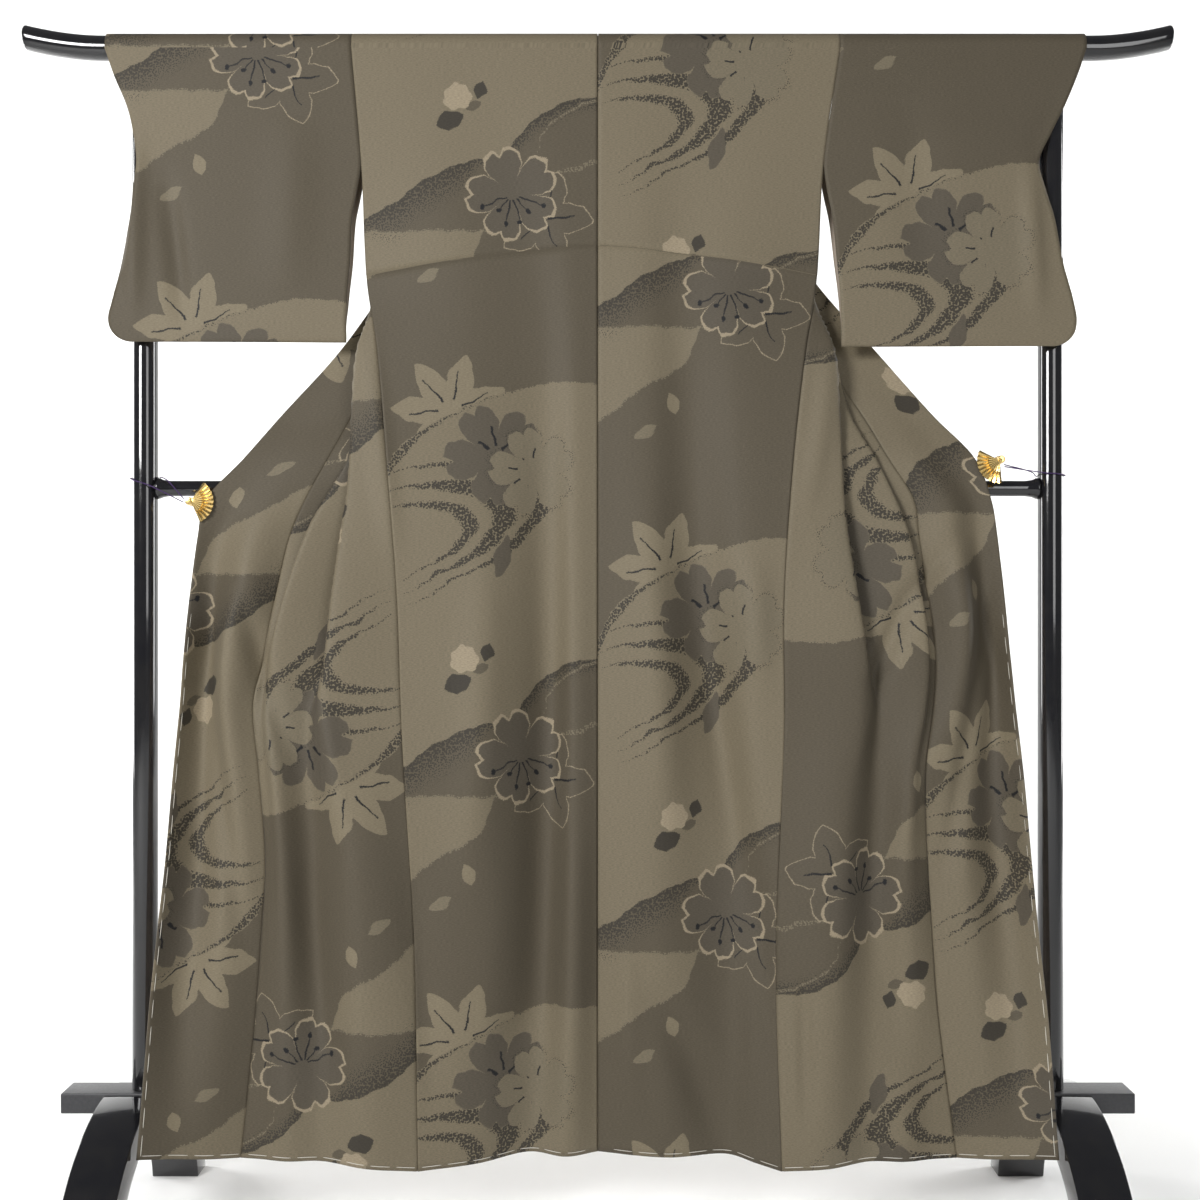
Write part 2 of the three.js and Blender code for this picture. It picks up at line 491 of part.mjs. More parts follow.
function fanShape() {
  const half = THREE.MathUtils.degToRad(FAN.spread);
  const rim = steps(-half, half, 2 * FAN.pleats).map((a, i) => {
    const r = FAN.radius - (i % 2 ? 0 : FAN.notch);
    return new THREE.Vector2(-r * Math.cos(a), r * Math.sin(a));
  });
  return new THREE.Shape([new THREE.Vector2(2, -2), new THREE.Vector2(2, 2), ...rim.reverse()]);
}
for (const side of ['left', 'right']) {
  const { x, z, turn } = clips[side];
  const clip = new THREE.Group();
  clip.position.set(side === 'left' ? -x : x, 0, z);
  clip.scale.x = side === 'left' ? -1 : 1;
  const tilted = new THREE.Group();
  tilted.rotation.y = THREE.MathUtils.degToRad(turn);
  clip.add(tilted);
  kimono.add(clip);
  const fan = add('fan_' + side, merged(new THREE.ExtrudeGeometry(fanShape(),
    { depth: FAN.thick, bevelEnabled: false })), gilt);
  fan.rotation.x = Math.PI / 2;
  fan.position.y = FAN_Y + FAN.thick / 2;
  const hinge = add('hinge_' + side,
    merged(new THREE.CylinderGeometry(HINGE.radius, HINGE.radius, HINGE.length, 16)), gilt);
  hinge.rotation.x = Math.PI / 2;
  hinge.position.set(HINGE.radius - 2, HINGE.y, 0);
  const leaf = add('leaf_' + side, merged(new THREE.BoxGeometry(BACK_LEAF.length, BACK_LEAF.thick,
    BACK_LEAF.height)), gilt);
  leaf.position.set(HINGE.radius - BACK_LEAF.length / 2, BACK_LEAF.y, 0);
  tilted.add(fan, hinge, leaf);
}

// Tie: a thin cord from the hinge, once round the post above the cross rail, and back.
const ties = {
  left: [[572, -29, 1019], [600, -25, 1033], [624, -21.5, 1044], [640, -19.4, 1049],
    [651, -10, 1053], [653.2, 3, 1055], [646, 15, 1056], [633, 19.6, 1056], [620, 15, 1056],
    [613.2, 5, 1056], [608, -6, 1055], [598, -14.5, 1050], [572, -27, 1024]],
  right: [[565, -29, 1067], [596, -25, 1063], [622, -21.5, 1060], [639, -19.4, 1059],
    [650, -11, 1058], [653.2, 2, 1058], [646, 15, 1058], [633, 19.6, 1058], [620, 15, 1058],
    [613.2, 5, 1059], [607, -8, 1061], [594, -19, 1064], [565, -27, 1071]],
};
for (const side of ['left', 'right']) {
  const s = side === 'left' ? -1 : 1;
  const route = new THREE.CatmullRomCurve3(
    ties[side].map(([x, y, z]) => new THREE.Vector3(s * x, y, z)), false, 'centripetal');
  add('tie_' + side, merged(new THREE.ExtrudeGeometry(round(TIE_D / 2, 8),
    { extrudePath: route, steps: 32 })), cordPurple);
}

export default kimono;
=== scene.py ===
"""A lined silk kimono hung, back outwards, on a black lacquered kimono stand.

Metres, +Z up. The rail runs along X, the garment's back faces -Y, and the floor is at Z = 0.
The tables give millimetres, a row per height, and are turned into metres as they are read.
"""
import math

import bmesh
import bpy
import numpy as np
from mathutils import Matrix, Vector


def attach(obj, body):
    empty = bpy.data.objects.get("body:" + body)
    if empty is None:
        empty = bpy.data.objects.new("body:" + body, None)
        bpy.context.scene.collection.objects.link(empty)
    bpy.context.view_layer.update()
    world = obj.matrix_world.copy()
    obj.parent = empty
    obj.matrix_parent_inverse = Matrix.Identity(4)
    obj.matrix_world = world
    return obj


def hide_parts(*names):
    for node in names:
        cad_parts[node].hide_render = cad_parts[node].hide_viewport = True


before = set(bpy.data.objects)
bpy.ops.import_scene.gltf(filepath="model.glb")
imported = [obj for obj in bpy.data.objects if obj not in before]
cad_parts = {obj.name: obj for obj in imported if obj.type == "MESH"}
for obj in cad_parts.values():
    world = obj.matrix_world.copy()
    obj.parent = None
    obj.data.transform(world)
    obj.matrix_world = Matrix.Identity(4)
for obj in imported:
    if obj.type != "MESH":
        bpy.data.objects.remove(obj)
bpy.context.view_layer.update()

# --- Room ---------------------------------------------------------------------------------
# A plain pale floor that sweeps up behind the stand, two soft lamps in front, and two behind
# that light the sweep. The camera stands level with the garment's middle, square to its back.
camera = bpy.data.objects.new("camera", bpy.data.cameras.new("camera"))
camera.data.sensor_width = 36
camera.data.lens = 42.86
camera.location = (0.003, -2.0, 0.884)
camera.rotation_euler = (math.radians(90), 0, 0)
bpy.context.scene.collection.objects.link(camera)
bpy.context.scene.camera = camera
bpy.context.scene.view_settings.view_transform = "Standard"


def lamp(name, place, aim, size, watts, colour=(1, 1, 1)):
    light = bpy.data.lights.new(name, "AREA")
    light.shape = "RECTANGLE"
    light.size, light.size_y = size
    light.energy = watts
    light.color = colour
    obj = bpy.data.objects.new(name, light)
    obj.location = place
    obj.rotation_euler = (Vector(aim) - Vector(place)).to_track_quat("-Z", "Y").to_euler()
    bpy.context.scene.collection.objects.link(obj)


lamp("key", (-2.1, -2.9, 2.1), (0, 0, 0.8), (1.1, 1.1), 118)
lamp("fill", (1.5, -3.0, 1.6), (0, 0, 0.8), (1.2, 1.8), 26)
for side in (-1, 1):
    lamp("backdrop", (side * 2.6, 0.7, 1.3), (side * 0.4, 2.4, 1.0), (0.8, 2.0), 60)

world = bpy.data.worlds.new("room")
world.use_nodes = True
world.node_tree.nodes["Background"].inputs["Color"].default_value = (0.95, 0.97, 1.0, 1)
world.node_tree.nodes["Background"].inputs["Strength"].default_value = 0.17
bpy.context.scene.world = world


def new_material(name, colour, roughness):
    """A material and its Principled shader, with a plain colour and roughness to start from."""
    material = bpy.data.materials.new(name)
    material.use_nodes = True
    shader = material.node_tree.nodes["Principled BSDF"]
    shader.inputs["Base Color"].default_value = (*colour, 1)
    shader.inputs["Roughness"].default_value = roughness
    return material, shader


FLOOR_HALF, SWEEP_Y, SWEEP_R = 4.5, 1.2, 0.9
bm = bmesh.new()
bmesh.ops.create_grid(bm, x_segments=1, y_segments=60, size=FLOOR_HALF)
for v in bm.verts:
    past = v.co.y - SWEEP_Y
    if past > 0:
        bend = min(past / SWEEP_R, math.pi / 2)
        v.co.y = SWEEP_Y + SWEEP_R * math.sin(bend)
        v.co.z = SWEEP_R * (1 - math.cos(bend)) + max(past - SWEEP_R * math.pi / 2, 0)
floor = bpy.data.objects.new("floor", bpy.data.meshes.new("floor"))
bm.to_mesh(floor.data)
bm.free()
floor.data.polygons.foreach_set("use_smooth", [True] * len(floor.data.polygons))
bpy.context.scene.collection.objects.link(floor)
paper, paper_shader = new_material("white_paper", (0.93, 0.93, 0.92), 0.9)
sweep = paper.node_tree
seen_from = sweep.nodes.new("ShaderNodeNewGeometry")
clear = sweep.nodes.new("ShaderNodeBsdfTransparent")
one_sided = sweep.nodes.new("ShaderNodeMixShader")  # the sweep is clear from behind
for source, socket in ((seen_from.outputs["Backfacing"], one_sided.inputs[0]),
                       (paper_shader.outputs[0], one_sided.inputs[1]),
                       (clear.outputs[0], one_sided.inputs[2]),
                       (one_sided.outputs[0], sweep.nodes["Material Output"].inputs["Surface"])):
    sweep.links.new(source, socket)
floor.data.materials.append(paper)

# --- Body ---------------------------------------------------------------------------------
# Each half of the body is one length of lined silk from the back hem, over the rail, to the
# front hem. The halves meet at the centre back seam. Each front turns outwards at the side
# seam and falls in soft folds from the clip that draws it out.
MM = 0.001
CLOTH = 1.4 * MM  # outer silk and lining together
UNDER = 1.6 * MM  # how far a seam tucks one panel under its neighbour
CENTRE = 0.4 * MM
RAIL_Z, RAIL_R = 1.656, 0.017
HANG_R = RAIL_R + 0.001 + 0.0008
TOP_Z, POINT_Z, COLLAR_END_Z, HEM_Z = 1.650, 1.419, 0.893, 0.108


def table(names, rows):
    """Named columns of a table in millimetres, in metres."""
    return dict(zip(names.split(), np.array(rows, float).T * MM))


def at(t, name, z):
    """A column's value at the heights z, on a smooth curve through its rows."""
    zs, values = t["z"][::-1], t[name][::-1]
    near = np.pad(np.arange(len(zs)), 1, mode="edge")
    slope = (values[near[2:]] - values[near[:-2]]) / (zs[near[2:]] - zs[near[:-2]])
    i = np.clip(np.searchsorted(zs, z, side="right") - 1, 0, len(zs) - 2)
    h = zs[i + 1] - zs[i]
    s = np.clip((z - zs[i]) / h, 0, 1)
    return ((2 * s**3 - 3 * s**2 + 1) * values[i] + (s**3 - 2 * s**2 + s) * h * slope[i]
            + (3 * s**2 - 2 * s**3) * values[i + 1] + (s**3 - s**2) * h * slope[i + 1])


def through(points, count):
    """A smooth curve through each row of points. points[k] holds point k of every row."""
    p = np.concatenate([2 * points[:1] - points[1:2], points, 2 * points[-1:] - points[-2:-1]])
    gap = np.maximum(np.linalg.norm(np.diff(p, axis=0), axis=2, keepdims=True), 1e-7) ** 0.5
    curve = []
    for s in np.linspace(0, len(points) - 1, count + 1):
        k = min(int(s), len(points) - 2)
        s = s - k
        a, b, c, d = p[k:k + 4]
        g0, g1, g2 = gap[k:k + 3]
        leave = ((b - a) / g0 - (c - a) / (g0 + g1) + (c - b) / g1) * g1
        reach = ((c - b) / g1 - (d - b) / (g1 + g2) + (d - c) / g2) * g1
        curve.append((2 * s**3 - 3 * s**2 + 1) * b + (s**3 - 2 * s**2 + s) * leave
                     + (3 * s**2 - 2 * s**3) * c + (s**3 - s**2) * reach)
    return np.stack(curve, 1)


def evenly(curve, fractions):
    """The points at these fractions of each row's length."""
    run = np.pad(np.cumsum(np.linalg.norm(np.diff(curve, axis=1), axis=2), axis=1), ((0, 0), (1, 0)))
    run /= run[:, -1:]
    return np.stack([[np.interp(fractions, r, row[:, k]) for k in range(3)]
                     for r, row in zip(run, curve)]).transpose(0, 2, 1)


# How far each line of the hem lies above its lowest point, at the side seam.
HEM_LIFT = dict(centre=10, ridge=9, trough=9, swell=4, side=0, lobe=8, tuck=12, crest=14,
                nook=14, seam=15, rib=22, gully=30, edge=38)


def section(t, lines, z, count=140):
    low = np.clip((0.420 - z) / (0.420 - HEM_Z), 0, 1) ** 2
    return through(np.stack([np.stack([
        np.full_like(z, CENTRE) if line == "centre" else at(t, line + "_x", z),
        at(t, line + "_y", z), z + low * HEM_LIFT[line] * MM], 1) for line in lines]), count)


BACK_COLUMNS = ("z centre_y ridge_x ridge_y trough_x trough_y swell_x swell_y side_x side_y")
BACKS = {
    "left": table(BACK_COLUMNS, [
        (1650, -19, 85, -19, 170, -19, 255, -19, 342, -19),
        (1490, -21, 60, -22, 120, -20, 220, -23, 328, -20),
        (1328, -22, 40, -25, 85, -20, 190, -28, 321, -15),
        (1233, -23, 35, -27, 75, -20, 180, -32, 305, -29),
        (1080, -25, 34, -30, 68, -20, 165, -40, 289, -44),
        (886, -25, 34, -32, 62, -18, 150, -46, 274, -52),
        (700, -24, 34, -34, 64, -14, 148, -50, 267, -54),
        (420, -20, 36, -34, 72, -10, 150, -50, 251, -56),
        (108, -14, 45, -30, 95, -12, 165, -42, 244, -60),
    ]),
    "right": table(BACK_COLUMNS, [
        (1650, -19, 85, -19, 168, -19, 252, -19, 336, -19),
        (1490, -21, 60, -23, 120, -20, 218, -23, 313, -20),
        (1328, -22, 65, -26, 112, -20, 190, -27, 304, -15),
        (1233, -23, 70, -29, 118, -20, 190, -32, 287, -29),
        (1080, -25, 72, -33, 128, -19, 192, -40, 268, -44),
        (886, -25, 72, -38, 142, -17, 200, -46, 254, -52),
        (700, -24, 76, -40, 160, -14, 212, -46, 254, -54),
        (420, -20, 84, -40, 180, -18, 216, -42, 243, -56),
        (108, -14, 95, -34, 180, -22, 218, -42, 250, -60),
    ]),
}
# From the side seam a front runs over lobe, tuck, crest and nook to the overlap's seam, and
# the overlap panel over rib and gully to the front edge.
WING_COLUMNS = ("z side_x side_y lobe_x lobe_y tuck_x tuck_y crest_x crest_y nook_x nook_y "
                "seam_x seam_y rib_x rib_y gully_x gully_y edge_x edge_y")
WINGS = {
    "left": table(WING_COLUMNS, [
        (1650, 342, 19, 292, 19, 243, 19, 194, 19, 146, 19, 97, 19, 97, 19, 97, 19, 97, 19),
        (1580, 337, 19, 290, 34, 250, 18, 212, 38, 178, 20, 143, 25, 143, 25, 143, 25, 143, 25),
        (1490, 328, 17, 292, 32, 232, 6, 256, 32, 206, 12, 196, 28, 196, 28, 196, 28, 196, 28),
        (1419, 325, 6, 300, 14, 222, 0, 272, 20, 214, 10, 244, 27, 245, 27, 246, 27, 247, 27),
        (1328, 321, -11, 303, -5, 222, -3, 285, 8, 228, 14, 262, 22, 275, 22, 288, 23, 300, 24),
        (1233, 306, -28, 334, -20, 252, -8, 328, 0, 268, 6, 300, 14, 320, 13, 343, 12, 364, 12),
        (1140, 297, -38, 340, -32, 276, -18, 338, -14, 296, -8, 344, -3, 376, -4, 412, -3, 443, -4),
        (1080, 290, -44, 341, -41, 289, -25, 346, -29, 316, -21, 374, -20, 412, -22, 454, -20, 490, -22),
        (1023, 283, -48, 345, -46, 302, -27, 377, -36, 360, -24, 404, -27, 450, -32, 500, -28, 540, -31),
        (972, 279, -50, 352, -52, 316, -26, 402, -42, 392, -28, 425, -28, 472, -44, 524, -24, 551, -33),
        (886, 275, -52, 362, -62, 345, -32, 430, -50, 428, -38, 444, -34, 488, -60, 530, -25, 561, -38),
        (805, 273, -54, 370, -66, 362, -42, 447, -56, 450, -44, 460, -42, 503, -64, 546, -16, 567, -42),
        (740, 270, -54, 376, -64, 390, -46, 450, -60, 460, -47, 472, -44, 510, -64, 548, -18, 571, -44),
        (650, 264, -54, 345, -72, 398, -44, 438, -66, 454, -50, 464, -44, 505, -60, 548, -20, 578, -50),
        (530, 255, -54, 330, -78, 392, -40, 428, -64, 446, -50, 456, -40, 500, -56, 552, -26, 586, -60),
        (420, 251, -56, 322, -76, 388, -42, 424, -60, 446, -50, 462, -38, 510, -54, 560, -40, 595, -72),
        (310, 249, -58, 318, -74, 382, -46, 424, -58, 450, -48, 470, -38, 519, -60, 566, -56, 602, -88),
        (108, 244, -60, 312, -72, 376, -54, 422, -61, 460, -52, 487, -50, 528, -74, 568, -94, 608, -118),
    ]),
    "right": table(WING_COLUMNS, [
        (1650, 336, 19, 288, 19, 240, 19, 193, 19, 145, 19, 97, 19, 97, 19, 97, 19, 97, 19),
        (1580, 329, 19, 286, 34, 246, 18, 209, 38, 176, 20, 143, 25, 143, 25, 143, 25, 143, 25),
        (1490, 313, 17, 282, 32, 226, 6, 250, 32, 203, 12, 196, 28, 196, 28, 196, 28, 196, 28),
        (1419, 309, 6, 290, 14, 218, 0, 266, 20, 212, 10, 246, 27, 247, 27, 248, 27, 249, 27),
        (1328, 304, -11, 292, -5, 218, -3, 280, 8, 230, 14, 270, 22, 284, 22, 298, 23, 312, 24),
        (1233, 288, -28, 328, -20, 248, -8, 328, 0, 276, 6, 312, 14, 338, 13, 366, 12, 392, 12),
        (1140, 277, -38, 334, -33, 272, -18, 352, -17, 320, -10, 370, -6, 402, -8, 436, -7, 468, -8),
        (1080, 269, -44, 336, -41, 286, -26, 384, -32, 364, -24, 402, -24, 442, -28, 484, -25, 520, -28),
        (1023, 264, -48, 338, -46, 302, -26, 410, -38, 396, -27, 436, -28, 478, -40, 518, -26, 542, -32),
        (972, 259, -50, 342, -52, 314, -26, 428, -44, 416, -30, 443, -30, 486, -46, 526, -24, 550, -34),
        (886, 254, -52, 354, -62, 340, -34, 444, -50, 440, -38, 455, -34, 498, -60, 532, -26, 559, -38),
        (805, 253, -54, 366, -66, 360, -44, 450, -56, 454, -44, 463, -41, 505, -62, 546, -18, 565, -42),
        (740, 254, -54, 370, -66, 386, -48, 444, -60, 450, -48, 459, -43, 502, -60, 548, -20, 570, -45),
        (650, 250, -54, 342, -72, 384, -46, 424, -64, 438, -50, 447, -43, 494, -58, 546, -22, 578, -52),
        (530, 246, -54, 328, -78, 378, -44, 418, -64, 440, -51, 452, -41, 498, -56, 552, -28, 587, -62),
        (420, 243, -56, 322, -76, 376, -44, 418, -60, 444, -50, 459, -40, 508, -56, 560, -42, 596, -74),
        (310, 244, -58, 316, -74, 374, -48, 420, -58, 448, -49, 467, -42, 516, -60, 566, -58, 603, -90),
        (108, 250, -60, 312, -72, 370, -55, 418, -62, 456, -52, 490, -50, 530, -74, 569, -95, 608, -118),
    ]),
}
BACK_LINES = ("centre", "ridge", "trough", "swell", "side")
FRONT_LINES = ("side", "lobe", "tuck", "crest", "nook", "seam")
OVERLAP_LINES = ("seam", "rib", "gully", "edge")
SIGN = {"left": -1, "right": 1}


def outward_normals(grid):
    n = np.cross(np.gradient(grid, axis=0), np.gradient(grid, axis=1))
    return n / np.maximum(np.linalg.norm(n, axis=2, keepdims=True), 1e-12)


def crease(across, height, line, width, depth):
    """How deep one soft fold lies, along a line of (across, height) points, fading at its ends."""
    line = np.array(line, float) * MM
    steps = np.diff(line, axis=0)
    lengths = np.linalg.norm(steps, axis=1)
    near, along, run = np.full(across.shape, np.inf), np.zeros(across.shape), 0
    for (a, z), step, length in zip(line, steps, lengths):
        s = np.clip(((across - a) * step[0] + (height - z) * step[1]) / length**2, 0, 1)
        gap = np.hypot(across - a - s * step[0], height - z - s * step[1])
        along = np.where(gap < near, run + s * length, along)
        near, run = np.minimum(near, gap), run + length
    fade = np.sin(np.pi * np.clip(along / run, 0.02, 0.98)) ** 0.7
    return depth * MM * fade * np.exp(-(near / (width * MM)) ** 2)


# Soft folds over the whole garment: a line of (x, z) points, a half width, and a depth that is
# positive for a hollow and negative for a ridge. All layers move together, so none can meet.
FOLDS = [
    ([(-81, 1164), (-74, 744), (-88, 324), (-165, 212)], 26, 11),
    ([(-151, 968), (-158, 702), (-179, 464)], 30, -10),
    ([(-256, 534), (-221, 184)], 22, 8),
    ([(-32, 576), (-36, 114)], 22, -8),
    ([(129, 940), (206, 520), (234, 324), (248, 170)], 24, 13),
    ([(73, 996), (90, 772), (101, 562)], 30, -10),
    ([(213, 940), (220, 772)], 22, -8),
    ([(73, 366), (129, 240), (171, 128)], 28, 11),
    ([(38, 464), (42, 128)], 18, -6),
    ([(-326, 1262), (-300, 1100), (-277, 940)], 16, -6),
    ([(328, 1262), (310, 1130), (283, 996)], 16, -6),
    ([(-543, 940), (-521, 688), (-487, 408)], 15, 14),
    ([(-568, 884), (-596, 520), (-606, 300)], 12, -8),
    ([(-494, 912), (-456, 772), (-417, 660)], 15, 11),
    ([(-375, 758), (-354, 576)], 20, -10),
    ([(-403, 534), (-375, 254)], 24, 10),
    ([(542, 940), (507, 716), (472, 492)], 15, 14),
    ([(570, 828), (591, 464)], 13, -8),
    ([(500, 976), (423, 884), (378, 772), (374, 632)], 14, 11),
    ([(479, 758), (423, 562)], 20, -10),
    ([(395, 464), (423, 212)], 24, 10),
    ([(279, 380), (283, 170)], 12, 8),
    ([(-637, 1514), (-641, 1276)], 13, -8),
    ([(-596, 1472), (-571, 1262)], 14, 8),
    ([(-669, 1600), (-655, 1500)], 9, 5),
    ([(650, 1590), (587, 1493)], 14, 2),
    ([(594, 1500), (605, 1276)], 14, -8),
    ([(-420, 1560), (-432, 1300)], 34, -6),
    ([(430, 1590), (455, 1300)], 34, 6),
]


def draped(grid):
    """The same points with every soft fold laid into them."""
    shift = sum(crease(grid[..., 0], grid[..., 2], *fold) for fold in FOLDS)
    return grid + shift[..., None] * (0, 1, 0)


def new_piece(name, bm, slot, *nodes):
    """An object of this mesh that rides on the stand's one body, in the place of these nodes."""
    obj = bpy.data.objects.new(name, bpy.data.meshes.new(name))
    bm.to_mesh(obj.data)
    bm.free()
    bpy.context.scene.collection.objects.link(obj)
    obj.data.polygons.foreach_set("use_smooth", [True] * len(obj.data.polygons))
    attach(obj, "root")
    if nodes:
        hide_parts(*nodes)
    return obj


laid = {}


def cloth(name, grid, u, v, finishes, node, thick=CLOTH, keep=None, loop=False):
    """A sheet of cloth: a grid moved onto these points, with its flat measure as a UV map."""
    grid = draped(grid)
    rows, columns = grid.shape[:2]
    bm = bmesh.new()
    bmesh.ops.create_grid(bm, x_segments=columns - 1, y_segments=rows - 1, size=0.5)
    flat = bm.loops.layers.uv.new("cloth")
    place = {p: (round((p.co.y + 0.5) * (rows - 1)), round((p.co.x + 0.5) * (columns - 1)))
             for p in bm.verts}
    for face in bm.faces:
        for loop_ in face.loops:
            i, j = place[loop_.vert]
            loop_[flat].uv = (u[i, j], v[i, j])
    if keep is not None:
        bmesh.ops.delete(bm, geom=[f for f in bm.faces if not keep(
            min(place[p][0] for p in f.verts), min(place[p][1] for p in f.verts))],
            context="FACES")
    for p in bm.verts:
        p.co = grid[place[p]]
    if loop:
        bmesh.ops.remove_doubles(bm, verts=bm.verts, dist=1e-6)
    normals = outward_normals(grid)
    laid[name] = grid, normals * finishes["out"]
    out = normals[rows // 8, columns // 2]
    spot = grid[rows // 8, columns // 2]
    face = min(bm.faces, key=lambda f: (f.calc_center_median() - Vector(spot)).length)
    face.normal_update()
    if face.normal.dot(Vector(out)) * finishes["out"] < 0:
        bmesh.ops.reverse_faces(bm, faces=bm.faces)
    piece = new_piece(name + "_cloth", bm, "face_silk", node)
    for finish in finishes["materials"]:
        piece.data.materials.append(finish)
    wall = piece.modifiers.new("wall", "SOLIDIFY")
    wall.thickness, wall.offset = thick, 0
    wall.material_offset = len(finishes["materials"]) - 1
    wall.material_offset_rim = 0
    return piece


def calc(tree, operation, *values, clamp=False):
    """A math node fed by sockets or plain numbers; returns its result."""
    node = tree.nodes.new("ShaderNodeMath")
    node.operation, node.use_clamp = operation, clamp
    for socket, value in zip(node.inputs, values):
        if isinstance(value, (int, float)):
            socket.default_value = value
        else:
            tree.links.new(value, socket)
    return node.outputs[0]


def blend(tree, mask, under, over):
    """Colour `over` laid on `under` where the mask is 1."""
    node = tree.nodes.new("ShaderNodeMix")
    node.data_type = "RGBA"
    for name, value in (("Factor_Float", mask), ("A_Color", under), ("B_Color", over)):
        socket = next(s for s in node.inputs if s.identifier == name)
        if isinstance(value, tuple):
            socket.default_value = (*value, 1)
        elif isinstance(value, (int, float)):
            socket.default_value = value
        else:
            tree.links.new(value, socket)
    return next(s for s in node.outputs if s.identifier == "Result_Color")


def profile_curve(tree, value, points):
    """A smooth function through (value, result) points."""
    xs, ys = zip(*points)
    low, high = min(ys), max(ys)
    node = tree.nodes.new("ShaderNodeFloatCurve")
    curve = node.mapping.curves[0]
    spots = [((x - xs[0]) / (xs[-1] - xs[0]), (y - low) / (high - low)) for x, y in points]
    for spot in spots[1:-1]:
        curve.points.new(*spot)
    curve.points[0].location, curve.points[-1].location = spots[0], spots[-1]
    node.mapping.update()
    share = calc(tree, "DIVIDE", calc(tree, "SUBTRACT", value, xs[0]), xs[-1] - xs[0])
    tree.links.new(share, node.inputs["Value"])
    return calc(tree, "MULTIPLY_ADD", node.outputs[0], high - low, low)


def new_group(name, inputs, outputs):
    tree = bpy.data.node_groups.new(name, "ShaderNodeTree")
    for way, sockets in (("INPUT", inputs), ("OUTPUT", outputs)):
        for label, kind in sockets:
            tree.interface.new_socket(label, in_out=way, socket_type=kind)
    return tree, tree.nodes.new("NodeGroupInput").outputs, tree.nodes.new("NodeGroupOutput").inputs


def uneven(material, scale, spread, height, pale=None):
    """Fine unevenness read from object coordinates: in roughness, relief and, if given, colour."""
    tree = material.node_tree
    shader = tree.nodes["Principled BSDF"]
    place = tree.nodes.new("ShaderNodeTexCoord")
    noise = tree.nodes.new("ShaderNodeTexNoise")
    noise.inputs["Scale"].default_value = scale
    noise.inputs["Detail"].default_value = 3
    tree.links.new(place.outputs["Object"], noise.inputs["Vector"])
    rough = shader.inputs["Roughness"]
    least = rough.default_value - spread
    tree.links.new(calc(tree, "MULTIPLY_ADD", noise.outputs[0], 2 * spread, least), rough)
    relief = tree.nodes.new("ShaderNodeBump")
    relief.inputs["Strength"].default_value = 0.5
    relief.inputs["Distance"].default_value = height
    tree.links.new(noise.outputs[0], relief.inputs["Height"])
    tree.links.new(relief.outputs[0], shader.inputs["Normal"])
    if pale:
        dark = tuple(shader.inputs["Base Color"].default_value)[:3]
        mask = calc(tree, "MULTIPLY_ADD", noise.outputs[0], 2.4, -0.7, clamp=True)
        tree.links.new(blend(tree, mask, dark, pale), shader.inputs["Base Color"])


# The pattern's places are in millimetres from the base of its pale bellflower, with y down
# the cloth, and it repeats along the bolt.
REPEAT, LEAD = 0.862, 0.090  # and how much of it lies above the bellflower's base
BASE_U = 0.090
LIGHT_GROUND, DARK_GROUND = (0.158, 0.131, 0.086), (0.084, 0.069, 0.046)
PALE, GREY_PETAL, SOFT_PALE = (0.178, 0.148, 0.097), (0.080, 0.067, 0.048), (0.150, 0.126, 0.084)
OUTLINE, INK, STIPPLE = (0.27, 0.222, 0.150), (0.008, 0.008, 0.009), (0.038, 0.032, 0.023)


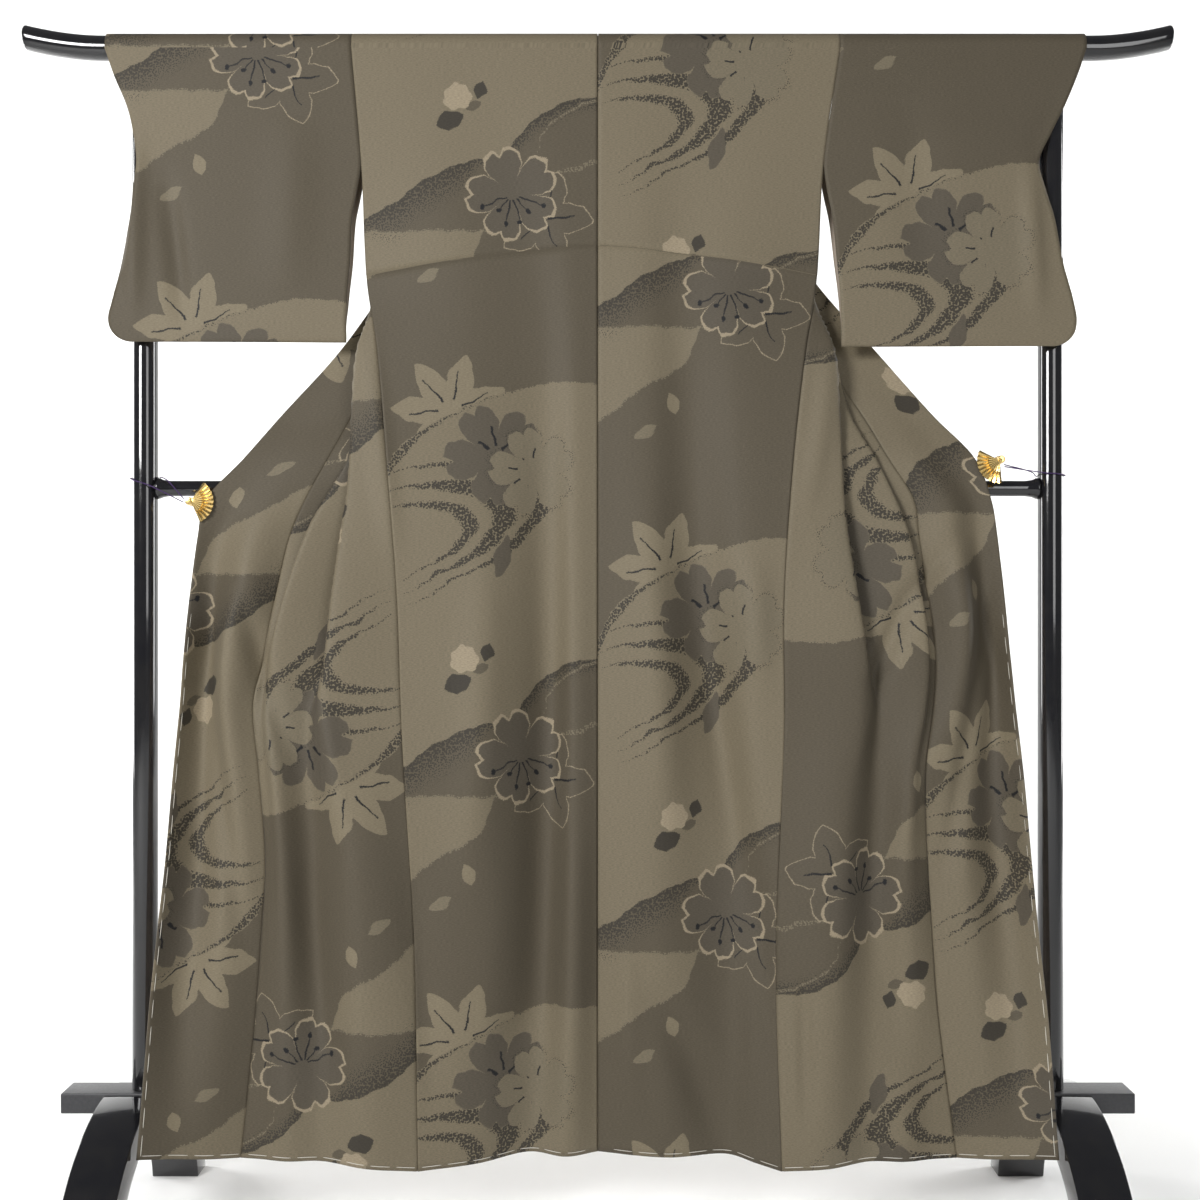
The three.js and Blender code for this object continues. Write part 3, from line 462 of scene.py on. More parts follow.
def figured_weave():
    tree, given, result = new_group(
        "figured_weave", [("Across", "NodeSocketFloat"), ("Along", "NodeSocketFloat")],
        [("Colour", "NodeSocketColor"), ("Ink", "NodeSocketFloat")])

    def c(operation, *values, clamp=False):
        return calc(tree, operation, *values, clamp=clamp)

    def within(depth, soft=0.9):
        return c("MULTIPLY_ADD", depth, 1 / soft, 0.5, clamp=True)

    across = c("MULTIPLY_ADD", given["Across"], 1000, -1000 * BASE_U)
    repeated = c("FLOORED_MODULO", c("ADD", given["Along"], LEAD), REPEAT)
    along = c("MULTIPLY_ADD", repeated, 1000, -1000 * LEAD)
    flat = tree.nodes.new("ShaderNodeCombineXYZ")
    tree.links.new(across, flat.inputs[0])
    tree.links.new(along, flat.inputs[1])

    def noise(scale, detail):
        node = tree.nodes.new("ShaderNodeTexNoise")
        node.noise_dimensions = "2D"
        node.inputs["Scale"].default_value = scale
        node.inputs["Detail"].default_value = detail
        tree.links.new(flat.outputs[0], node.inputs["Vector"])
        split = tree.nodes.new("ShaderNodeSeparateXYZ")
        tree.links.new(node.outputs["Color"], split.inputs[0])
        return split.outputs

    sway, jag = noise(0.055, 1.0), noise(0.9, 0.0)
    # Edges sway a little and step with the threads, so no two repeats of a shape look drawn.
    x, y = (c("ADD", base, c("ADD", c("MULTIPLY_ADD", sway[k], 7, -3.5),
                             c("MULTIPLY_ADD", jag[k], 2.2, -1.1)))
            for k, base in ((0, across), (1, along)))

    dots = tree.nodes.new("ShaderNodeTexVoronoi")
    dots.voronoi_dimensions = "2D"
    dots.inputs["Scale"].default_value = 1 / 2.9
    tree.links.new(flat.outputs[0], dots.inputs["Vector"])
    dot_gap = dots.outputs["Distance"]

    def stippled(density):
        return c("MULTIPLY_ADD", c("SUBTRACT", density, dot_gap), 7, 0.5, clamp=True)

    def polar(cx, cy):
        right, up = c("SUBTRACT", x, cx), c("SUBTRACT", cy, y)
        reach = c("SQRT", c("ADD", c("MULTIPLY", right, right), c("MULTIPLY", up, up)))
        return reach, c("ARCTAN2", up, right)

    def flower(cx, cy, radius, turn, petals, notched):
        """How far inside a flower's edge a point lies, its reach from the centre, and its angle."""
        reach, angle = polar(cx, cy)
        angle = c("SUBTRACT", angle, math.radians(turn))
        side = c("PINGPONG", c("MULTIPLY", angle, petals / math.pi), 1)
        if notched:
            edge = c("MULTIPLY_ADD", c("SQRT", c("SUBTRACT", 1, c("POWER", side, 3.2))), 0.62, 0.38)
            edge = c("SUBTRACT", edge, c("MAXIMUM", c("MULTIPLY_ADD", side, -0.75, 0.15), 0))
        else:
            edge = c("SUBTRACT", 1, c("MULTIPLY", c("POWER", side, 1.15), 0.48))
        return c("SUBTRACT", c("MULTIPLY", edge, radius), reach), reach, angle

    def strokes(reach, angle, count, start, end, wide, bend=0.0, dot=0.0, vary=0.0):
        """Brushed lines running out from a flower's centre, some ending in a dot."""
        turn = c("MULTIPLY", angle, count / math.tau)
        index = c("FLOOR", c("ADD", turn, 0.5))
        away = c("MULTIPLY", c("SUBTRACT", turn, index), math.tau / count)
        off = c("MULTIPLY", away, reach)
        if bend:
            off = c("SUBTRACT", off, c("MULTIPLY", c("POWER", c("DIVIDE", reach, end), 2), bend))
        stop = c("MULTIPLY_ADD", c("SINE", c("MULTIPLY", index, 2.4)), vary * end, end)
        taper = c("MULTIPLY_ADD", c("DIVIDE", reach, stop), -0.55 * wide, wide)
        line = c("SUBTRACT", taper, c("ABSOLUTE", off))
        line = c("MINIMUM", line, c("MINIMUM", c("SUBTRACT", reach, start), c("SUBTRACT", stop, reach)))
        if dot:
            far = c("SUBTRACT", reach, stop)
            blob = c("SUBTRACT", dot, c("SQRT", c("MULTIPLY_ADD", far, far, c("MULTIPLY", off, off))))
            line = c("MAXIMUM", line, blob)
        return within(line)

    def fan(angle, middle, least):
        """1 within the part of a turn about `middle` degrees, 0 outside it."""
        near = c("COSINE", c("SUBTRACT", angle, math.radians(middle)))
        return within(c("MULTIPLY", c("SUBTRACT", near, least), 40))

    def leaf(cx, cy, length, width, turn):
        right, up = c("SUBTRACT", x, cx), c("SUBTRACT", cy, y)
        co, si = math.cos(math.radians(turn)), math.sin(math.radians(turn))
        a = c("ADD", c("MULTIPLY", right, co), c("MULTIPLY", up, si))
        b = c("SUBTRACT", c("MULTIPLY", up, co), c("MULTIPLY", right, si))
        bow = c("SUBTRACT", 1, c("POWER", c("ABSOLUTE", c("DIVIDE", a, length / 2)), 2))
        return within(c("SUBTRACT", c("MULTIPLY", bow, width / 2), c("ABSOLUTE", b)))

    def both(*masks):
        out = masks[0]
        for mask in masks[1:]:
            out = c("MULTIPLY", out, mask)
        return out

    # Ground: pale and dark clouds, with a bank (top) and a shore (foot) to each pale one.
    bank = profile_curve(tree, x, [
        (-95, 90), (-77, 57), (-60, 39), (-28, 17), (0, 3), (55, -21), (91, -32), (140, -43),
        (200, -41), (280, -30)])
    shore = profile_curve(tree, x, [
        (-95, 494), (-63, 475), (-49, 463), (-21, 447), (7, 435), (35, 427), (63, 423),
        (91, 399), (113, 374), (133, 360), (161, 346), (203, 339), (280, 333)])
    below_bank, above_shore = c("SUBTRACT", y, bank), c("SUBTRACT", shore, y)
    in_light = both(within(below_bank), within(above_shore))
    colour = blend(tree, in_light, DARK_GROUND, LIGHT_GROUND)
    lens_foot = profile_curve(tree, x, [
        (-95, 655), (-49, 620), (-27, 603), (4, 589), (25, 572), (38, 548), (46, 526), (280, 500)])
    lens_depth = c("MINIMUM", c("SUBTRACT", y, 526), c("SUBTRACT", lens_foot, y))
    colour = blend(tree, within(lens_depth), colour, LIGHT_GROUND)

    # Streams: stippled lines along the banks and three nested swirls below the cherry.
    thick = profile_curve(tree, x, [(-95, 22), (-60, 17), (-28, 9), (0, 6), (40, 4), (280, 3)])
    bank_line = c("MINIMUM", c("ADD", below_bank, 1), c("SUBTRACT", thick, below_bank))
    reach, angle = polar(-98, 196)
    bearing = c("MULTIPLY", angle, 180 / math.pi)
    lobe = profile_curve(tree, bearing, [
        (-60, 0.34), (-24, 0.42), (-7, 0.60), (4, 0.79), (11, 0.89), (19, 1.0), (27, 0.97),
        (36, 0.87), (50, 0.70), (72, 0.54), (92, 0.47), (180, 0.45)])
    level = c("DIVIDE", reach, lobe)
    swell = profile_curve(tree, bearing, [
        (-180, 0), (-80, 0), (-50, 0.25), (-10, 0.75), (22, 1.3), (55, 0.8), (95, 0.1), (180, 0)])
    swirls = [c("SUBTRACT", c("MULTIPLY", swell, half), c("ABSOLUTE", c("SUBTRACT", level, middle)))
              for middle, half in ((128, 10), (178, 15), (229, 12))]
    swirl = c("MAXIMUM", c("MAXIMUM", swirls[0], swirls[1]), swirls[2])
    swirl = c("MINIMUM", swirl, c("SUBTRACT", below_bank, 6))
    shore_in = c("MULTIPLY", above_shore, -1)
    shore_wide = profile_curve(tree, x, [
        (-95, 60), (-60, 70), (7, 60), (35, 20), (63, 10), (91, 28), (133, 34), (203, 26),
        (280, 20)])
    shore_fade = c("MULTIPLY", c("SUBTRACT", 1, c("DIVIDE", shore_in, shore_wide)), within(shore_in))
    loop_foot = profile_curve(tree, x, [
        (60, 426), (91, 438), (119, 446), (161, 441), (203, 430), (280, 420)])
    loop_top = profile_curve(tree, x, [
        (118, 440), (122, 415), (127, 393), (147, 371), (175, 354), (203, 343), (280, 335)])
    dark_dots = c("MAXIMUM", c("MULTIPLY", c("MULTIPLY_ADD", bank_line, 0.25, 0.1, clamp=True), 0.5),
                  c("MULTIPLY", c("MULTIPLY_ADD", swirl, 0.10, 0.35, clamp=True),
                    c("MULTIPLY", within(swirl), 0.58)))
    dark_dots = c("MAXIMUM", dark_dots, c("MULTIPLY", c("MAXIMUM", shore_fade, 0), 0.62))
    colour = blend(tree, stippled(dark_dots), colour, STIPPLE)

    def dotted(gap, half, density):
        """A line of pale dots where `gap` is near nothing."""
        return c("MULTIPLY", within(c("SUBTRACT", half, c("ABSOLUTE", gap))), density)

    foot_line = both(within(c("SUBTRACT", x, 60)), dotted(c("SUBTRACT", y, loop_foot), 3.5, 0.42))
    top_line = both(within(c("SUBTRACT", x, 118)), dotted(c("SUBTRACT", y, loop_top), 2.2, 0.42))
    pale_dots = c("MAXIMUM", c("MAXIMUM", foot_line, top_line), dotted(lens_depth, 2.6, 0.40))
    colour = blend(tree, stippled(pale_dots), colour, SOFT_PALE)

    # The pale bellflower stands behind the bank.
    depth, reach, angle = flower(0, 0, 82, 74, 7, False)
    shown = within(c("MULTIPLY", below_bank, -1))
    colour = blend(tree, both(within(depth), shown), colour, PALE)
    ink = both(strokes(reach, angle, 7, 17, 58, 1.8, bend=6), shown, fan(angle, 26, 0.1))

    # Two cherry blossoms, the pale one over the grey one.
    depth, reach, angle = flower(60, 58, 70, 190, 5, True)
    colour = blend(tree, within(depth), colour, GREY_PETAL)
    rim = c("SUBTRACT", 0.7, c("ABSOLUTE", depth))
    colour = blend(tree, c("MULTIPLY", within(rim), 0.5), colour, SOFT_PALE)
    petals = both(strokes(reach, angle, 7, 12, 34, 2.6, bend=5, vary=0.2), fan(angle, 250, -0.2))
    ink = c("MAXIMUM", ink, petals)
    depth, reach, angle = flower(110, 80, 60, 31, 5, True)
    over = within(depth)
    dust = c("MULTIPLY", c("SUBTRACT", 1, c("DIVIDE", c("ABSOLUTE", depth), 9), clamp=True), 0.40)
    dust = c("MULTIPLY", dust, within(c("MULTIPLY", depth, -1), 6))
    colour = blend(tree, stippled(dust), colour, STIPPLE)
    colour = blend(tree, over, colour, SOFT_PALE)
    ink = both(ink, c("SUBTRACT", 1, over))
    flecks = both(strokes(reach, angle, 8, 20, 29, 2.4, bend=3, vary=0.2), fan(angle, 120, -0.3))
    ink = c("MAXIMUM", ink, flecks)

    # A dark leaf, a bud with its leaves, and two loose petals.
    colour = blend(tree, leaf(67, 198, 60, 24, 255), colour, GREY_PETAL)
    colour = blend(tree, leaf(0, 372, 40, 26, 20), colour, STIPPLE)
    colour = blend(tree, leaf(-4, 374, 26, 24, 100), colour, STIPPLE)
    colour = blend(tree, leaf(42, 329, 26, 17, 70), colour, STIPPLE)
    colour = blend(tree, c("MULTIPLY", leaf(32, 351, 26, 14, 20), 0.6), colour, STIPPLE)
    reach, angle = polar(10, 338)
    bud = c("SUBTRACT", c("MULTIPLY_ADD", c("PINGPONG", c("MULTIPLY", angle, 2.2), 1), -2.5, 20), reach)
    colour = blend(tree, within(bud), colour, OUTLINE)
    colour = blend(tree, leaf(7, 631, 31, 17, 290), colour, PALE)
    colour = blend(tree, leaf(-31, 671, 36, 17, 30), colour, SOFT_PALE)

    # The outlined bellflower, and the outlined cherry over it.
    depth, reach, angle = flower(130, 508, 68, 0, 5, False)
    inside = within(depth)
    colour = blend(tree, c("MULTIPLY", inside, 0.35), colour, GREY_PETAL)
    colour = blend(tree, within(c("SUBTRACT", 0.8, c("ABSOLUTE", depth))), colour, OUTLINE)
    veins = strokes(reach, angle, 5, 5, 44, 1.6, bend=4)
    depth, reach, angle = flower(86, 474, 66, 36, 5, True)
    colour = blend(tree, within(depth), colour, GREY_PETAL)
    edge = c("SUBTRACT", 2.2, c("ABSOLUTE", c("SUBTRACT", depth, 1.2)))
    colour = blend(tree, within(edge), colour, OUTLINE)
    ink = c("MAXIMUM", ink, both(veins, c("SUBTRACT", 1, within(depth))))
    stamens = both(strokes(reach, angle, 13, 9, 38, 1.4, dot=3.4, vary=0.22), fan(angle, -126, 0.15))
    ink = c("MAXIMUM", ink, stamens)

    colour = blend(tree, ink, colour, INK)
    tree.links.new(colour, result["Colour"])
    tree.links.new(ink, result["Ink"])
    return tree


face_silk, silk_shader = new_material("face_silk", LIGHT_GROUND, 0.62)
silk = face_silk.node_tree
silk_flat = silk.nodes.new("ShaderNodeUVMap")
silk_flat.uv_map = "cloth"
silk_split = silk.nodes.new("ShaderNodeSeparateXYZ")
silk.links.new(silk_flat.outputs[0], silk_split.inputs[0])
silk_figure = silk.nodes.new("ShaderNodeGroup")
silk_figure.node_tree = figured_weave()
silk.links.new(silk_split.outputs[0], silk_figure.inputs["Across"])
silk.links.new(silk_split.outputs[1], silk_figure.inputs["Along"])
# Crepe: fine uneven ribs across the bolt, with a slight change of tone from rib to rib.
crepe_scale = silk.nodes.new("ShaderNodeVectorMath")
crepe_scale.operation = "MULTIPLY"
crepe_scale.inputs[1].default_value = (260, 1050, 1)
silk.links.new(silk_flat.outputs[0], crepe_scale.inputs[0])
crepe = silk.nodes.new("ShaderNodeTexNoise")
crepe.noise_dimensions = "2D"
crepe.inputs["Scale"].default_value = 1
crepe.inputs["Detail"].default_value = 2
silk.links.new(crepe_scale.outputs[0], crepe.inputs["Vector"])
tone = calc(silk, "MULTIPLY_ADD", crepe.outputs[0], 0.7, 0.65)
toned = silk.nodes.new("ShaderNodeMix")
toned.data_type, toned.blend_type = "RGBA", "MULTIPLY"
toned.inputs["Factor"].default_value = 1
silk.links.new(silk_figure.outputs["Colour"], next(s for s in toned.inputs if s.identifier == "A_Color"))
silk.links.new(tone, next(s for s in toned.inputs if s.identifier == "B_Color"))
silk.links.new(next(s for s in toned.outputs if s.identifier == "Result_Color"),
               silk_shader.inputs["Base Color"])
ribs = silk.nodes.new("ShaderNodeBump")
ribs.inputs["Strength"].default_value = 0.35
ribs.inputs["Distance"].default_value = 0.0006
silk.links.new(crepe.outputs[0], ribs.inputs["Height"])
silk.links.new(ribs.outputs[0], silk_shader.inputs["Normal"])
silk_shader.inputs["Specular IOR Level"].default_value = 0.28
silk_shader.inputs["Sheen Weight"].default_value = 0.04

lining_silk, _ = new_material("lining_silk", (0.24, 0.19, 0.14), 0.5)
uneven(lining_silk, 900, 0.12, 0.0003, pale=(0.29, 0.235, 0.175))

FRONT_CELLS, NECK_CELLS = 64, 24
# The hip tuck meets the centre seam at this height, drops towards the sides, and stands proud.
TUCK_Z, TUCK_DROP, TUCK_REACH, TUCK_PROUD, TUCK_FADE = 1.375, 0.040, 0.11, 0.0016, 0.018
SIDE_SEAM_TOP, SEAM_EASE = 1.33, 0.03
rear_z = np.append(np.linspace(HEM_Z, TUCK_Z - 0.0004, 112), np.linspace(TUCK_Z + 0.0004, TOP_Z, 30))
front_z = np.linspace(TOP_Z, HEM_Z, 200)
over = np.radians(np.linspace(-90, 90, 13))


# Where the pattern's pale bellflower falls: its height on the back above and below the hip
# tuck, its distance from the centre seam, its height on the front, and the front's own start.
PATTERN = {
    "left": dict(top_base=1.058, back_base=1.142, back_across=0.204, front_base=0.633,
                 front_side=0.010),
    "right": dict(top_base=1.707, back_base=0.925, back_across=0.100, front_base=0.869,
                  front_side=0.300),
}


def body_panel(side):
    back, wing = BACKS[side], WINGS[side]
    width, neck = back["side_x"][0], wing["seam_x"][0]
    across = np.append(np.linspace(width, neck, FRONT_CELLS + 1),
                       np.linspace(neck, CENTRE, NECK_CELLS + 1)[1:])
    rear = evenly(section(back, BACK_LINES, rear_z), across / width)
    above = rear_z[:, None] - TUCK_Z
    drop = TUCK_DROP * (across / width) ** 1.3 * np.exp(-((above / TUCK_REACH) ** 2))
    level = rear_z[:, None] - drop
    for j in range(len(across)):
        for k in range(3):
            rear[:, j, k] = np.interp(level[:, j], rear_z, rear[:, j, k])
    rear[:, :, 1] -= np.where(above > 0, TUCK_PROUD * np.exp(-above / TUCK_FADE), 0)
    rear[:, :, 0] = np.maximum(rear[:, :, 0], 0)
    if side == "right":
        rear[:, -1] += (-UNDER - rear[:, -1:, 0].mean(), UNDER, 0)
    rail = np.stack([np.stack([across, np.full_like(across, HANG_R * math.sin(a)),
                               np.full_like(across, RAIL_Z + HANG_R * math.cos(a))], 1) for a in over])
    front = evenly(section(wing, FRONT_LINES, front_z), np.linspace(0, 1, FRONT_CELLS + 1))
    below = np.clip((SIDE_SEAM_TOP - front_z) / SEAM_EASE, 0, 1)
    for k, step in ((0, -UNDER), (1, UNDER)):
        beneath = np.interp(front[:, 0, 2], rear[:, 0, 2], rear[:, 0, k]) + step
        front[:, 0, k] += below * (beneath - front[:, 0, k])
    front = np.concatenate([front, np.repeat(front[:, -1:], NECK_CELLS, axis=1)], 1)
    grid = np.concatenate([rear, rail, front])
    steps = np.linalg.norm(np.diff(rear, axis=1), axis=2)[:, ::-1]
    from_centre = np.pad(np.cumsum(steps, axis=1), ((0, 0), (1, 0)))[:, ::-1]
    u = np.concatenate([from_centre, np.tile(across, (len(grid) - len(rear), 1))])
    flat = PATTERN[side]
    run = np.pad(np.cumsum(np.linalg.norm(np.diff(front, axis=1), axis=2), axis=1), ((0, 0), (1, 0)))
    if side == "left":
        u = BASE_U + flat["back_across"] - u
        u[-len(front):] = flat["front_side"] + run
    else:
        u = BASE_U - flat["back_across"] + u
        u[-len(front):] = flat["front_side"] - run
    rail_v = flat["top_base"] - TOP_Z - HANG_R * (over + math.pi / 2)
    v = np.concatenate([np.where(above > 0, flat["top_base"], flat["back_base"]) - level]
                       + [np.repeat(part[:, None], len(across), 1)
                          for part in (rail_v, front_z - flat["front_base"])])
    grid[..., 0] *= SIGN[side]
    last = len(rear) + len(rail) // 2
    return cloth("body_" + side, grid, u, v, dict(materials=[face_silk, lining_silk], out=SIGN[side]),
                 "body_" + side, keep=lambda i, j: j < FRONT_CELLS or i < last)


body = {side: body_panel(side) for side in ("left", "right")}

# --- Overlap panels -----------------------------------------------------------------------
# A narrow panel of the same lined silk is sewn to each front from the tip at the collar down
# to the hem. Its free edge is the garment's front edge.
overlap_z = front_z[front_z < POINT_Z]
SEAM = 0.3 * MM


# The pattern's place on each overlap panel: where across it starts, and its bellflower's height.
OVERLAP_BASE = {"left": (0.0, 0.394), "right": (0.015, 0.667)}


def overlap_panel(side):
    grid = evenly(section(WINGS[side], OVERLAP_LINES, overlap_z), np.linspace(0, 1, 41))
    grid[:, 0] += (-UNDER, UNDER, 0)
    run = np.pad(np.cumsum(np.linalg.norm(np.diff(grid, axis=1), axis=2), axis=1), ((0, 0), (1, 0)))
    base = OVERLAP_BASE[side]
    u = base[0] + run
    v = np.repeat((base[1] - overlap_z if side == "right" else overlap_z - base[1])[:, None], 41, 1)
    grid[..., 0] *= SIGN[side]
    return cloth("overlap_" + side, grid, u, v, dict(materials=[face_silk, lining_silk], out=SIGN[side]),
                 "overlap_" + side)


overlap = {side: overlap_panel(side) for side in ("left", "right")}

# --- Sleeves ------------------------------------------------------------------------------
# Each sleeve is one length of lined silk folded over the rail, closed along its foot, sewn to
# the body down to the armhole, and open at the cuff.
SLEEVE_COLUMNS = ("z slit near_in_y near_mid_y cuff_x cuff_y far_in_y far_mid_x far_mid_y "
                  "far_cuff_x far_cuff_y")
SLEEVES = {
    "left": table(SLEEVE_COLUMNS, [
        (1650, 0, -19, -19, 684, -19, 19, 515, 19, 684, 19),
        (1610, 0, -19.5, -21, 670, -20.5, 19, 510, 20, 662, 22),
        (1567, 0, -20, -23, 652, -21.5, 19, 505, 20, 632, 25),
        (1531, 0, -20, -24, 643, -23, 19, 500, 16, 603, 14),
        (1490, 0, -20, -25, 637, -25, 17, 505, 8, 603, -8),
        (1452, 7, -21, -26, 640, -26.5, 14, 535, -8, 627, -24.2),
        (1413, 15, -22, -27, 643, -28, 10, 560, -19, 643, -26.1),
        (1349, 20, -24, -28, 656, -29, 2, 580, -22, 656, -27.1),
        (1296, 30, -25, -29, 670, -30, -8, 590, -24, 670, -28.1),
        (1268, 37, -25, -29, 675, -30, -14, 590, -25, 675, -28.1),
        (1248, 40, -24, -28, 662, -29, -18, 585, -25.5, 662, -27.1),
    ]),
    "right": table(SLEEVE_COLUMNS, [
        (1650, 0, -19, -19, 678, -19, 19, 505, 19, 678, 19),
        (1610, 0, -19.5, -22, 664, -20.5, 19, 500, 21, 656, 22),
        (1567, 0, -20, -24, 646, -21.5, 19, 495, 20, 628, 25),
        (1531, 0, -20, -26, 628, -23, 19, 490, 16, 600, 14),
        (1490, 0, -20, -26, 610, -25, 17, 495, 8, 596, -8),
        (1452, 7, -21, -26, 618, -26.5, 14, 525, -8, 612, -24.2),
        (1413, 16, -22, -27, 630, -28, 10, 550, -19, 630, -26.1),
        (1349, 25, -24, -28, 642, -29, 2, 570, -22, 642, -27.1),
        (1296, 36, -25, -29, 656, -30, -8, 580, -24, 656, -28.1),
        (1264, 44, -25, -29, 660, -30, -14, 580, -25, 660, -28.1),
        (1242, 48, -24, -28, 648, -29, -18, 575, -25.5, 648, -27.1),
    ]),
}
SLEEVE_FOOT = {"left": 1.241, "right": 1.235}
SLEEVE_CELLS, CUFF_ROUND = 56, 0.030


# The pattern's place on each sleeve: its bellflower's distance from the centre and its height.
SLEEVE_BASE = {"left": (0.558, 1.2515), "right": (0.430, 1.437)}


def sleeve(side):
    t = SLEEVES[side]
    z = np.linspace(TOP_Z, t["z"][-1], 80)
    round_z = SLEEVE_FOOT[side] + CUFF_ROUND

    def rounding(height, start):
        """How far out the cuff reaches where its lower corner is rounded off."""
        past = np.clip(round_z - height, 0, CUFF_ROUND)
        return start - CUFF_ROUND + np.sqrt(CUFF_ROUND**2 - past**2)

    def layer(near):
        inner = at(BACKS[side] if near else WINGS[side], "side_x", z) + SEAM + at(t, "slit", z)
        if near:
            cuff_x, cuff_y, in_y, mid_y = (at(t, c, z) for c in
                                           ("cuff_x", "cuff_y", "near_in_y", "near_mid_y"))
            mid_x = (inner + cuff_x) / 2
        else:
            cuff_x, cuff_y, in_y, mid_y, mid_x = (at(t, c, z) for c in (
                "far_cuff_x", "far_cuff_y", "far_in_y", "far_mid_y", "far_mid_x"))
            inner = inner + 0.4 * CLOTH
        start = at(t, "cuff_x" if near else "far_cuff_x", np.array([round_z]))
        cuff_x = np.where(z < round_z, rounding(z, start), cuff_x)
        ends = [np.stack(p, 1) for p in ((inner, in_y, z), (mid_x, mid_y, z), (cuff_x, cuff_y, z))]
        return evenly(through(np.stack(ends), 60), np.linspace(0, 1, SLEEVE_CELLS + 1))

    near, far = layer(True), layer(False)
    turn = np.radians(np.linspace(0, 180, 9))[1:-1, None, None]
    middle, half = (near[-1:] + far[-1:]) / 2, (near[-1:] - far[-1:]) / 2
    foot = middle + half * np.cos(turn)
    foot[..., 2] -= (z[-1] - SLEEVE_FOOT[side]) * np.sin(turn[..., 0])
    start, inner = at(t, "cuff_x", np.array([round_z])), near[-1, 0, 0]
    foot[..., 0] = inner + (foot[..., 0] - inner) * (rounding(foot[..., 2], start) - inner) / (
        rounding(z[-1], start) - inner)
    x = near[0, :, 0]
    rail = np.stack([np.stack([x, np.full_like(x, HANG_R * math.sin(a)),
                               np.full_like(x, RAIL_Z + HANG_R * math.cos(a))], 1) for a in over[::-1]])
    grid = np.concatenate([near, foot, far[::-1], rail, near[:1]])
    out = SLEEVE_BASE[side]
    u = BASE_U + (out[0] - grid[:, :, 0]) * -SIGN[side]
    run = np.pad(np.cumsum(np.linalg.norm(np.diff(grid[:, SLEEVE_CELLS // 2], axis=0), axis=1)), (1, 0))
    v = np.repeat(out[1] - TOP_Z + run[:, None], SLEEVE_CELLS + 1, 1)
    grid[..., 0] *= SIGN[side]
    return cloth("sleeve_" + side, grid, u, v, dict(materials=[face_silk, lining_silk], out=SIGN[side]),
                 "sleeve_" + side, loop=True)


sleeves = {side: sleeve(side) for side in ("left", "right")}

# --- Collar -------------------------------------------------------------------------------
# The collar is a long band of silk folded in half, sewn along both front edges and round the
# neck, and it lies on the far side. A shorter over-collar covers its middle.
COLLAR_THICK, COLLAR_WIDTH, COLLAR_BEHIND, COLLAR_CELLS = 0.003, 0.057, 0.005, 12
OVER_COLLAR_THICK, OVER_COLLAR_REACH = 0.001, 0.480
COLLAR_RISE = table("z rise", [
    (1650, 1), (1580, 4), (1490, 3), (1419, 6), (1328, 8), (1233, 11), (1140, 9), (1080, 4),
    (1023, 3), (972, 12), (893, 20)])
# The band's sewn and free edges round the neck, from the side to the centre back.
NECK = table("x z free_x free_z", [
    (92, 1640, 36, 1601), (74, 1652, 33, 1598), (48, 1656, 24, 1598), (20, 1657, 9, 1599),
    (0, 1657, 0, 1599)])


def collar_half(side):
    wing = WINGS[side]
    z = np.linspace(COLLAR_END_Z, 1.610, 130)
    sewn = np.stack([at(wing, "edge_x", z) - 0.0015, at(wing, "edge_y", z) + COLLAR_BEHIND, z], 1)
    run = np.gradient(sewn, axis=0)
    length = np.hypot(run[:, 0], run[:, 2])[:, None]
    w = np.linspace(0, COLLAR_WIDTH, COLLAR_CELLS + 1)[None]
    x = sewn[:, :1] - w * run[:, 2:] / length
    down = sewn[:, 2:] + w * run[:, :1] / length
    y = sewn[:, 1:2] + at(COLLAR_RISE, "rise", z)[:, None] * w / COLLAR_WIDTH
    levels = np.linspace(COLLAR_END_Z - 0.02, POINT_Z, 260)
    surface = section(wing, OVERLAP_LINES, levels, 60)
    for i in range(len(z)):
        for j in range(COLLAR_CELLS + 1):
            if down[i, j] < POINT_Z:
                row = surface[np.abs(levels - down[i, j]).argmin()]
                if x[i, j] > row[0, 0]:
                    y[i, j] = max(y[i, j], np.interp(x[i, j], row[:, 0], row[:, 1]) + COLLAR_BEHIND)
    strip = np.stack([x, y, down], 2)
    behind = HANG_R + COLLAR_BEHIND
    ends = [np.stack([NECK[a], np.full(5, behind + d), NECK[b]], 1)
            for a, b, d in (("x", "z", 0), ("free_x", "free_z", 0.002))]
    s = np.linspace(0, 1, COLLAR_CELLS + 1)[None, :, None]
    neck = ends[0][:, None] * (1 - s) + ends[1][:, None] * s
    bend = np.concatenate([strip[-8:-7], strip[-1:], neck])
    smooth = through(bend, 66).transpose(1, 0, 2)[11:]
    return np.concatenate([strip, smooth[1:]])


def collar_grid():
    left, right = collar_half("left"), collar_half("right")
    left[..., 0] *= -1
    left[-1, :, 0] = right[-1, :, 0] = 0
    return np.concatenate([left, right[-2::-1]])


band = collar_grid()
band_u = np.tile(np.linspace(0, COLLAR_WIDTH, COLLAR_CELLS + 1), (len(band), 1))
band_run = np.pad(np.cumsum(np.linalg.norm(np.diff(band[:, 0], axis=0), axis=1)), (1, 0))
band_v = np.repeat(band_run[:, None], COLLAR_CELLS + 1, 1)
collar = cloth("collar", band, band_u, band_v, dict(materials=[face_silk], out=1), "collar", COLLAR_THICK)

covered = np.abs(band_run - band_run[len(band_run) // 2]) < OVER_COLLAR_REACH
over_band = band[covered] + (0, COLLAR_THICK / 2 + OVER_COLLAR_THICK / 2 + 2 * SEAM, 0)
over_collar = cloth("over_collar", over_band, band_u[covered] + 0.1, band_v[covered] + 0.2,
                    dict(materials=[face_silk], out=1), "over_collar", OVER_COLLAR_THICK)

